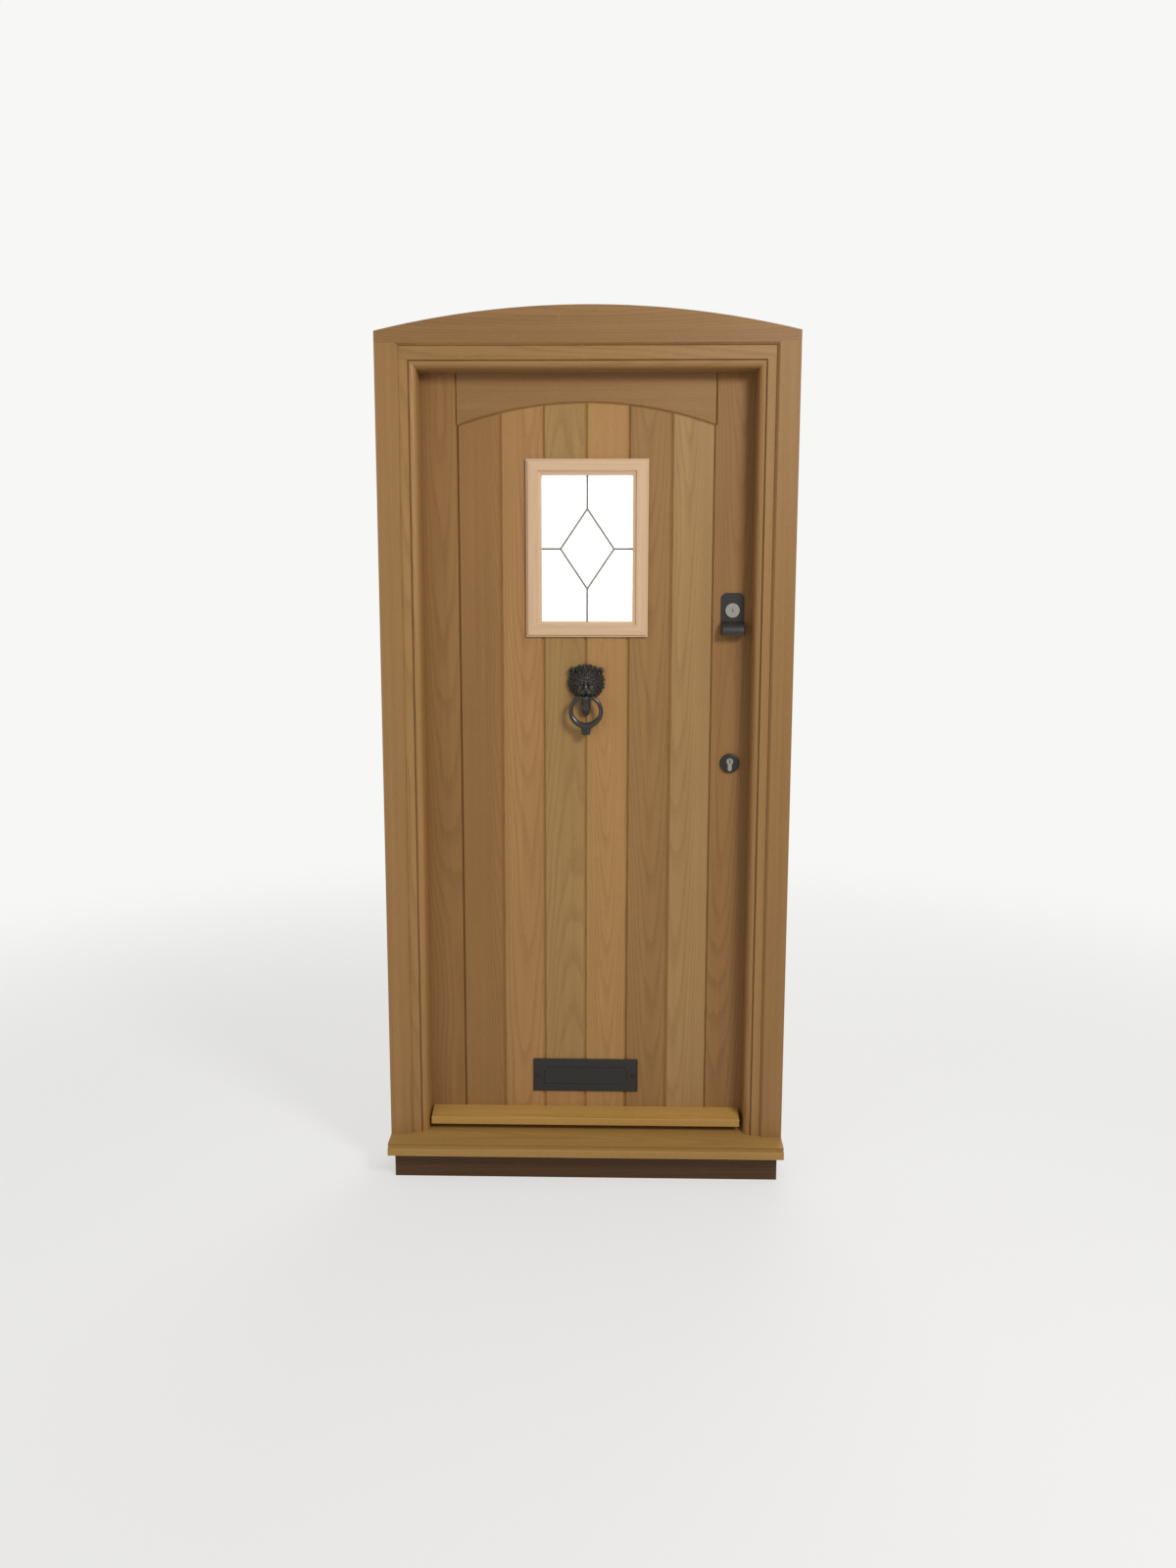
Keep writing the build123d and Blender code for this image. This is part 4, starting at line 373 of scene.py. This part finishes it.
put(Base_Color=bloom.mix((0.17, 0.165, 0.16), (0.34, 0.33, 0.31)), Roughness=bloom * 0.25 + 0.42)
dress(lead, "lead_strips")

# Weather seal.
# A rubber strip pressed into a groove in the frame's rebate, which the shut leaf rests against.
GLOSS_SPREAD, CLOUD_SHARE, SHADE_SHARE = 0.16, 1 / 12, 0.8


def metal(name, colour, roughness, metallic=1.0, scale=300.0, depth=0.0002, **sockets):
    """Plain metal, enamel or rubber: a cloudy colour, uneven gloss and a fine skin from two noises."""
    material, point, put = finish_of(name, Metallic=metallic, **sockets)
    skin = point.node("TexNoise", {}, {"Vector": point, "Scale": scale, "Detail": 4.0})
    cloud = point.node("TexNoise", {}, {"Vector": point, "Scale": scale * CLOUD_SHARE, "Detail": 3.0})
    darker = tuple(c * SHADE_SHARE for c in colour)
    bump = point.node("Bump", {}, {"Strength": 0.3, "Distance": depth, "Height": skin})
    gloss = skin * GLOSS_SPREAD + (roughness - GLOSS_SPREAD / 2)
    put(Base_Color=cloud.mix(darker, colour), Roughness=gloss, Normal=bump)
    return material


dress(metal("seal_rubber", (0.055, 0.042, 0.032), 0.75, 0.0), "weather_seal")

# Hinges.
# Three brass butt hinges, let into the hinge stile and the left jamb and screwed, each on its own pin.
brass = metal("brass", (0.62, 0.43, 0.17), 0.30)
dress(brass, "hinge_door_leaves", "hinge_frame_leaves", "hinge_pins")

# Night latch.
# Outside, a nickel rim cylinder in a black pull with a hood; inside, a bronzed case with a brass bolt,
# knob and snib, screwed to a back plate; on the jamb, a bronzed keep.
satin_black = metal("satin_black", (0.020, 0.018, 0.016), 0.44, 0.0, 500.0, 0.0002)
nickel = metal("satin_nickel", (0.66, 0.62, 0.56), 0.28)
bronze = metal("bronze_enamel", (0.070, 0.050, 0.034), 0.40, 0.3)
dress(satin_black, "cylinder_pull")
dress(nickel, "rim_cylinder", "rim_cylinder_plug")
dress(bronze, "latch_case", "latch_keep", "latch_back_plate")
dress(brass, "latch_bolt", "latch_knob", "latch_snib")

# Dead lock.
# A steel case mortised into the lock stile, thrown by a nickel profile cylinder between two round black
# escutcheons, with a thumb turn inside and a striking plate let into the jamb.
steel = metal("zinc_steel", (0.50, 0.51, 0.52), 0.34)
dress(satin_black, "escutcheons")
dress(nickel, "profile_cylinder", "cylinder_plug", "cylinder_cam", "thumb_turn")
dress(steel, "lock_case", "dead_bolt", "striking_plate")

# Screws, bolts and nuts.
# Zinc-plated steel, but for the black bolts that hold the knocker and the letter plate to the leaf.
dress(steel, "door_screws", "frame_screws", "door_nuts")
dress(satin_black, "door_bolts")

# Letter plate and flap.
# A cast black plate with a bevelled edge, and a flap hung in it on two pins. A thin lip behind each end
# of the flap laps the plate inside the slot; it starts below the pins, so that it clears the plate.
PIN_REACH, LIP_ROOT, LIP_SINK = 0.006, 0.004, 0.0005
LIP_LAP, LIP_THICKNESS, LIP_CLEARANCE, LIP_BELOW_PIN = 0.0031, 0.001, 0.0003, 0.006


def block(low, high):
    """Points and faces of a block between two corners."""
    points = np.stack(np.meshgrid(*zip(low, high), indexing="ij"), -1).reshape(-1, 3)
    faces = [(0, 1, 3, 2), (4, 6, 7, 5), (0, 4, 5, 1), (2, 3, 7, 6), (0, 2, 6, 4), (1, 5, 7, 3)]
    return points, faces


dress(satin_black, "letter_plate", "letter_flap")
flap_low, flap_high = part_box("letter_flap")
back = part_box("letter_plate")[1][1] + LIP_CLEARANCE
points, faces = [], []
for end, inward in ((flap_low[0] + PIN_REACH, 1), (flap_high[0] - PIN_REACH, -1)):
    root, tip = end + inward * LIP_ROOT, end - inward * LIP_LAP
    for reach, start in ((end, flap_high[1] - LIP_SINK), (tip, back)):
        low = (min(root, reach), start, flap_low[2])
        high = (max(root, reach), back + LIP_THICKNESS, flap_high[2] - LIP_BELOW_PIN)
        block_points, block_faces = block(low, high)
        faces += [tuple(corner + 8 * len(points) for corner in face) for face in block_faces]
        points.append(block_points)
flap_lips = mesh_piece("flap_lips", np.concatenate(points), faces, smooth=False)
flap_lips.data.materials.append(satin_black)
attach(flap_lips, "letter_flap")

# Knocker: the lion's head.
# Cast iron under glossy black enamel, bolted through the leaf: a broad face with a curly mane, two round
# ears and a beard that hangs inside the ring. Sizes are millimetres from the middle of the head.
KNOCKER_PLACE = (-0.002, 0.063, 1.267)


def at_knocker(across, up, proud):
    """Points of the door from millimetres right of, above and out from the middle of the lion's head."""
    x, y = KNOCKER_PLACE[0] + across / 1000, KNOCKER_PLACE[1] - proud / 1000
    return np.stack(np.broadcast_arrays(x, y, KNOCKER_PLACE[2] + up / 1000), -1)


def closed_shell(rings):
    """Points and faces of a closed surface: rings of points, rows along it and columns round it, joined
    by four-sided faces and shut by a fan at each end. The volume's sign turns the faces outwards."""
    rows, columns = rings.shape[:2]
    row, here = np.arange(rows - 1)[:, None] * columns, np.arange(columns)
    after = (here + 1) % columns
    points = np.concatenate([rings.reshape(-1, 3), rings[0].mean(0)[None], rings[-1].mean(0)[None]])
    quads = (row + here, row + after, row + columns + after, row + columns + here)
    quads = np.stack(quads, -1).reshape(-1, 4)
    last, tip = (rows - 1) * columns, np.full(columns, rows * columns)
    first_fan = np.stack([after, here, tip], -1)
    fans = np.concatenate([first_fan, np.stack([here + last, after + last, tip + 1], -1)])
    a, b, c, d = (points[quads[:, n]] for n in range(4))
    p, q, r = (points[fans[:, n]] for n in range(3))
    inside = (a * np.cross(b, c)).sum() + (a * np.cross(c, d)).sum() + (p * np.cross(q, r)).sum()
    if inside < 0:
        quads, fans = quads[:, ::-1], fans[:, ::-1]
    return points, quads, fans


def shells_piece(name, shells):
    """One smooth mesh object from several closed surfaces that sink into each other."""
    points, faces, start = [], [], 0
    for shell_points, quads, fans in shells:
        points.append(shell_points)
        faces += (quads + start).tolist() + (fans + start).tolist()
        start += len(shell_points)
    return mesh_piece(name, np.concatenate(points), faces)


def swell(across, up, lump, fall=None):
    """Height of a rounded lump at each point: its top less a share of the squared distance from its
    middle, measured in its own half width and half height, with its axes tilted."""
    x, z, wide, high, tilt, top = lump
    turn = math.radians(tilt)
    u = ((across - x) * math.cos(turn) + (up - z) * math.sin(turn)) / wide
    v = ((up - z) * math.cos(turn) - (across - x) * math.sin(turn)) / high
    return top - (fall or 0.9 * min(wide, high)) * (u * u + v * v)


def dent(across, up, x, z, wide, high, depth):
    """Depth of a soft hollow: a bell curve in both directions."""
    return depth * np.exp(-(((across - x) / wide) ** 2) - ((up - z) / high) ** 2)


def blended(heights, softness=0.9):
    """Smooth highest value of several heights: the logarithm of the sum of their exponentials."""
    stack = np.stack(heights) / softness
    peak = stack.max(0)
    return softness * (peak + np.log(np.exp(stack - peak).sum(0)))


# Lumps of the face: millimetres right and up, half width, half height, tilt in degrees, and how proud.
# On the middle line: skull, forehead, bridge of the nose, its lower end, nose, jaw and chin.
MIDDLE_LUMPS = (
    (0, 4, 22, 21, 0, 31.5), (0, 13, 12, 8, 0, 34.5), (0, -2, 4.6, 14, 0, 38.0),
    (0, -11.5, 6.2, 8, 0, 39.6), (0, -17.0, 6.8, 3.8, 0, 42.0), (0, -37.5, 10.0, 7.4, 0, 35.5),
    (0, -42, 6.5, 5.5, 0, 33.0),
)
# On both sides: brow, muzzle pad, cheekbone, cheek and temple.
SIDE_LUMPS = (
    (8.8, 7.2, 8.8, 3.4, 20, 38.4), (6.7, -22.4, 8.0, 7.4, -10, 38.8),
    (13.5, -10.5, 9.5, 11.0, 25, 31.8), (15.5, -19.5, 6.5, 9.0, 20, 28.5), (16, 6, 7, 9, 0, 29.5),
)
# Eyeball, upper lid and lower lid.
EYE_LUMPS = (
    (9.4, -0.2, 3.9, 3.3, 0, 36.6), (9.4, 3.3, 6.0, 1.3, 12, 37.0), (9.2, -4.2, 5.2, 1.3, -12, 35.6),
)
# Hollows of the face: millimetres right and up, half width, half height, and how deep.
EYE_SOCKET, FURROW = (9.4, 0.6, 5.2, 3.4, 3.4), (2.3, 11, 0.9, 5, 1.3)
PUPIL, NOSTRIL = (9.4, -0.2, 1.1, 1.1, 0.9), (3.5, -18.6, 1.5, 1.0, 3.2)
LIP_CLEFT, MOUTH_UP, MOUTH_BOW = (0, -23.5, 0.7, 4.2, 2.2), -29.8, 0.02
STRANDS, STRAND_DEPTH = 62, 0.25
FACE_MIDDLE, FACE_WIDE, FACE_HIGH = -11.0, 23.0, 34.0
# Behind the jaw the face stays clear of the ring's eyes and crossbar.
JAW_SIDE, JAW_TOP, JAW_LOW, FACE_LOW = 10.6, -30.4, 19.5, 6.0


def lion_face():
    """Face as a height over an ellipse, on rings from its middle to its rim, then back to the leaf."""
    share = np.linspace(0.01, 1.0, 130)[:, None] ** 0.85
    turn = np.linspace(0, 2 * math.pi, 220, endpoint=False)[None, :]
    across, up = FACE_WIDE * share * np.sin(turn), FACE_MIDDLE + FACE_HIGH * share * np.cos(turn)
    mirrored = np.abs(across)
    lumps = [swell(across, up, lump) for lump in MIDDLE_LUMPS]
    face = blended(lumps + [swell(mirrored, up, lump) for lump in SIDE_LUMPS])
    waver = np.sin(np.hypot(across, up) * 0.45) * 1.5
    strands = np.sin(np.arctan2(across, up + 12) * STRANDS + waver)
    face += STRAND_DEPTH * strands * (1 - dent(across, up, 0, -12, 9, 16, 1))
    face -= dent(mirrored, up, *EYE_SOCKET) + dent(mirrored, up, *FURROW)
    face = blended([face] + [swell(mirrored, up, lump, 2.6) for lump in EYE_LUMPS], 0.35)
    face -= dent(mirrored, up, *PUPIL) + dent(mirrored, up, *NOSTRIL) + dent(across, up, *LIP_CLEFT)
    face -= dent(mirrored, up, 6.0, MOUTH_UP + MOUTH_BOW * mirrored**2, 6.5, 0.9, 3.6)
    whisker_roots = np.maximum(0, np.sin(mirrored * 2.1) * np.sin(up * 2.1 + 0.5))
    face -= whisker_roots * dent(mirrored, up, 8, -23, 4, 4, 0.45)
    room = JAW_LOW + 9 * np.maximum(0, np.maximum(JAW_SIDE - mirrored, up - JAW_TOP))
    face = np.maximum(np.minimum(face, room), FACE_LOW)
    rim = at_knocker(across[-1:], up[-1:], 0.0)
    return closed_shell(np.concatenate([at_knocker(across, up, face), rim]))


# How proud the mane stands at each distance from the middle of the head
MANE_SPREADS, MANE_PROUDS = (0, 18, 24, 30, 36, 42, 47, 52), (31, 28.5, 25, 19.5, 13, 7, 4, 2)
CAP_SPREAD = 44.0


def mane_cap():
    """Domed cap under the curls: rings whose height falls with their radius."""
    spread = np.append(np.linspace(1.0, CAP_SPREAD, 24), CAP_SPREAD)[:, None]
    turn = np.linspace(0, 2 * math.pi, 96, endpoint=False)[None, :]
    proud = np.interp(spread, MANE_SPREADS, MANE_PROUDS) - 1.0
    proud[-1] = 0.0
    squat = 1.0 - 0.10 * (np.cos(turn) < 0) * np.cos(turn) ** 2
    return closed_shell(at_knocker(spread * np.sin(turn), spread * np.cos(turn) * squat, proud))


CURL_WIND, CURL_STEP, CURL_RISE, CURL_HALF_WIDTH, CURL_RIDGE = 7.4, 0.150, 0.36, 0.44, 0.13
CURL_SQUAT = 0.93


def curl(spread, turn, size, hand, start):
    """Curl of the mane: a tapering strand that runs outwards and winds up like a snail. Its heading
    turns ever faster along its length, it climbs towards its tip, and three ridges wind round it."""
    along = np.linspace(0, 1, 40)
    heading = turn + hand * (start + CURL_WIND * along**1.3)
    step = size * CURL_STEP * (1.05 - 0.8 * along)
    across, up = np.cumsum(np.sin(heading) * step), np.cumsum(np.cos(heading) * step)
    across += spread * math.sin(turn) - across[14:].mean()
    up += spread * math.cos(turn) * (1.0 if math.cos(turn) > 0 else CURL_SQUAT) - up[14:].mean()
    proud = np.interp(np.hypot(across, up), MANE_SPREADS, MANE_PROUDS)
    proud += size * (0.02 + CURL_RISE * along**1.3)
    width = size * CURL_HALF_WIDTH * np.sqrt(np.clip(along * 9, 0.02, 1)) * (1.02 - along) ** 0.42
    around = np.linspace(0, 2 * math.pi, 14, endpoint=False)[None, :]
    ridged = width[:, None] * (1 + CURL_RIDGE * np.cos(3 * around + 5 * along[:, None]))
    sideways = ridged * np.cos(around)
    height = np.clip(proud[:, None] + ridged * np.sin(around), 0.3, None)
    across = across[:, None] + np.cos(heading)[:, None] * sideways
    return closed_shell(at_knocker(across, up[:, None] - np.sin(heading)[:, None] * sideways, height))


# Rows of curls: how many, radius of the row, size of a curl, and how low the row goes
MANE_ROWS = (
    (27, 43.6, 4.6, -40), (22, 36.8, 4.9, -36), (18, 30.0, 4.9, -27),
    (13, 23.6, 4.8, -4), (7, 18.2, 4.4, 8),
)
BESIDE_JAW, BELOW_CHEEK = 14, -24


def mane():
    """Rows of curls that lap outwards, each wound away from the middle line and a little uneven."""
    chance = np.random.default_rng(11)
    curls = []
    for row, (count, spread, size, lowest) in enumerate(MANE_ROWS):
        for number in range(count):
            turn = (number + 0.5 * (row % 2) + 0.25 + chance.uniform(-0.12, 0.12)) * 2 * math.pi / count
            size_here, start = size * chance.uniform(0.9, 1.12), chance.uniform(-1.0, -0.3)
            reach = spread + chance.uniform(-0.8, 0.8)
            up, across = reach * math.cos(turn), reach * math.sin(turn)
            beside_jaw = up < BELOW_CHEEK and abs(across) < BESIDE_JAW
            if up > lowest and not beside_jaw:
                curls.append(curl(reach, turn, size_here, 1 if across > 0 else -1, start))
    return curls


EAR_ACROSS, EAR_UP, EAR_WIDE, EAR_HIGH = 35, 29.5, 9.3, 9.6


def ear(hand):
    """Rounded ear at an upper corner of the mane: a raised rim round a hollow, with hairs across it."""
    share = np.append(np.sin(np.linspace(0.03, math.pi / 2, 36)), 1.0)[:, None]
    turn = np.linspace(0, 2 * math.pi, 60, endpoint=False)[None, :]
    across, up = share * np.sin(turn), share * np.cos(turn)
    proud = 5 + 14.5 * np.clip(1 - share**2.4, 0, 1) ** 0.6 + 0.5 * np.sin(turn * 11) * share**2
    proud -= dent(across, up, -0.12 * hand, -0.12, 0.36, 0.5, 8.5)
    proud[-1] = 0.0
    sideways = hand * (EAR_ACROSS + EAR_WIDE * across)
    return closed_shell(at_knocker(sideways, EAR_UP + EAR_HIGH * up, proud))


BEARD_TOP, BEARD_LENGTH = -39, 43.5


def beard():
    """Beard below the jaw: rows of a flattened arch from jaw to tip, with wavy locks that meet there."""
    down = np.linspace(0, 1, 80)[:, None]
    turn = np.linspace(0, 2 * math.pi, 64, endpoint=False)[None, :]
    wide = np.interp(down, (0, 0.25, 0.6, 0.85, 0.96, 1), (11.2, 12.4, 11.6, 9.2, 5.8, 0.8))
    thick = np.interp(down, (0, 0.3, 0.7, 0.92, 1), (21, 17.5, 16.5, 13, 5))
    lock = np.abs(np.sin(4.18 * np.sin(turn) + 0.9 * np.sin(down * 9))) ** 0.6
    arch = np.clip(np.cos(turn), 0, 1) ** 0.45
    side = thick * 0.45 * np.clip(1 + np.cos(turn) * 5, 0, 1)
    proud = side + (thick * 0.55 - 3.2 * (1 - lock)) * arch
    across = wide * np.sin(turn) + 0.8 * np.sin(down * 7)
    return closed_shell(at_knocker(across, BEARD_TOP - BEARD_LENGTH * down, proud))


GLOSSY_COAT = {"Coat_Weight": 0.8, "Coat_Roughness": 0.12}
cast_black = metal("black_enamel", (0.016, 0.014, 0.012), 0.30, 0.0, 260.0, 0.0003, **GLOSSY_COAT)
lion_head = shells_piece("lion_head", [lion_face(), mane_cap(), ear(1), ear(-1), beard(), *mane()])
lion_head.data.materials.append(cast_black)
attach(lion_head, "leaf")
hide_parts("knocker_head")

# Knocker: the ring, its striker and the stud.
# A cast ring that thickens towards its foot, on a straight bar that turns in the lion's jaw, with an eye
# at each end of the bar and a fluted striker below that meets a stud on the leaf.
RING_MIDDLE, RING_OUTSIDE, RING_THIN, RING_THICKENING = -70.5, 43.0, 5.0, 2.65
RING_START, RING_END, THICK_HALF, THICK_FADE = (math.radians(angle) for angle in (26.6, 333.4, 60, 14))
BAR_UP, BAR_PROUD, BAR_RADIUS, BAR_HALF = -36.5, 28.0, 3.0, 16
FLUTE_RADIUS, FLUTE_SPREAD, STRIKER_TOP, STRIKER_LENGTH = 4.8, 7.92, 38.0, 20.5
EYE_HALF, EYE_MIDDLE, EYE_ROUNDING = 5.6, 17.0, 5.75
GROOVE_PLACE, GROOVE_WIDTH, GROOVE_DEPTH = 3.6, 0.45, 0.35


def ring_tube():
    """Ring as a tube along an arc from eye to eye: its bar swells from 5 to 7.6 mm towards the foot,
    while its outside stays on one circle."""
    turn = np.linspace(RING_START, RING_END, 150)[:, None]
    around = np.linspace(0, 2 * math.pi, 28, endpoint=False)[None, :]
    lowness = 1 / (1 + np.exp((np.abs(turn - math.pi) - THICK_HALF) / THICK_FADE))
    bar = RING_THIN + RING_THICKENING * lowness
    spread = RING_OUTSIDE - bar + bar * np.cos(around)
    up = RING_MIDDLE + spread * np.cos(turn)
    return closed_shell(at_knocker(spread * np.sin(turn), up, BAR_PROUD + bar * np.sin(around)))


def crossbar_turning(across, radius):
    """Turned piece on the crossbar's line: a radius at each place across."""
    around = np.linspace(0, 2 * math.pi, 28, endpoint=False)
    up, proud = np.outer(radius, np.sin(around)), np.outer(radius, np.cos(around))
    return closed_shell(at_knocker(across[:, None], BAR_UP + up, BAR_PROUD + proud))


def striker():
    """Fluted striker: the outline of three bars side by side, drawn in towards a rounded end."""
    down = np.linspace(0, 1, 60)[:, None]
    turn = np.linspace(0, 2 * math.pi, 120, endpoint=False)[None, :]
    within = FLUTE_RADIUS**2 - (FLUTE_SPREAD * np.sin(turn)) ** 2
    lobe = np.abs(FLUTE_SPREAD * np.cos(turn)) + np.sqrt(np.clip(within, 0, None))
    outline = np.maximum(FLUTE_RADIUS, np.where(within > 0, lobe, 0))
    rounding = np.sqrt(np.clip(1 - np.clip((down - 0.86) / 0.14, 0, 1) ** 2.4, 0.002, 1))
    outline = outline * (1.0 - 0.20 * down) * (0.72 + 0.28 * rounding) * np.where(down > 0.985, 0.8, 1)
    up = RING_MIDDLE - STRIKER_TOP - STRIKER_LENGTH * down
    return closed_shell(at_knocker(outline * np.cos(turn), up, BAR_PROUD + outline * np.sin(turn)))


bar = crossbar_turning(np.linspace(-BAR_HALF, BAR_HALF, 30), np.full(30, BAR_RADIUS))
eye_x = np.linspace(-EYE_HALF, EYE_HALF, 26)
eye_radius = EYE_HALF * (1 - np.abs(eye_x / EYE_ROUNDING) ** 4) ** 0.25
eye_radius -= GROOVE_DEPTH * np.exp(-(((np.abs(eye_x) - GROOVE_PLACE) / GROOVE_WIDTH) ** 2))
eyes = [crossbar_turning(side * EYE_MIDDLE + eye_x, eye_radius) for side in (-1, 1)]
ring = shells_piece("ring_and_striker", [ring_tube(), bar, *eyes, striker()])
ring.data.materials.append(cast_black)
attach(ring, "knocker_ring")
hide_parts("knocker_ring")
dress(cast_black, "knocker_stud")
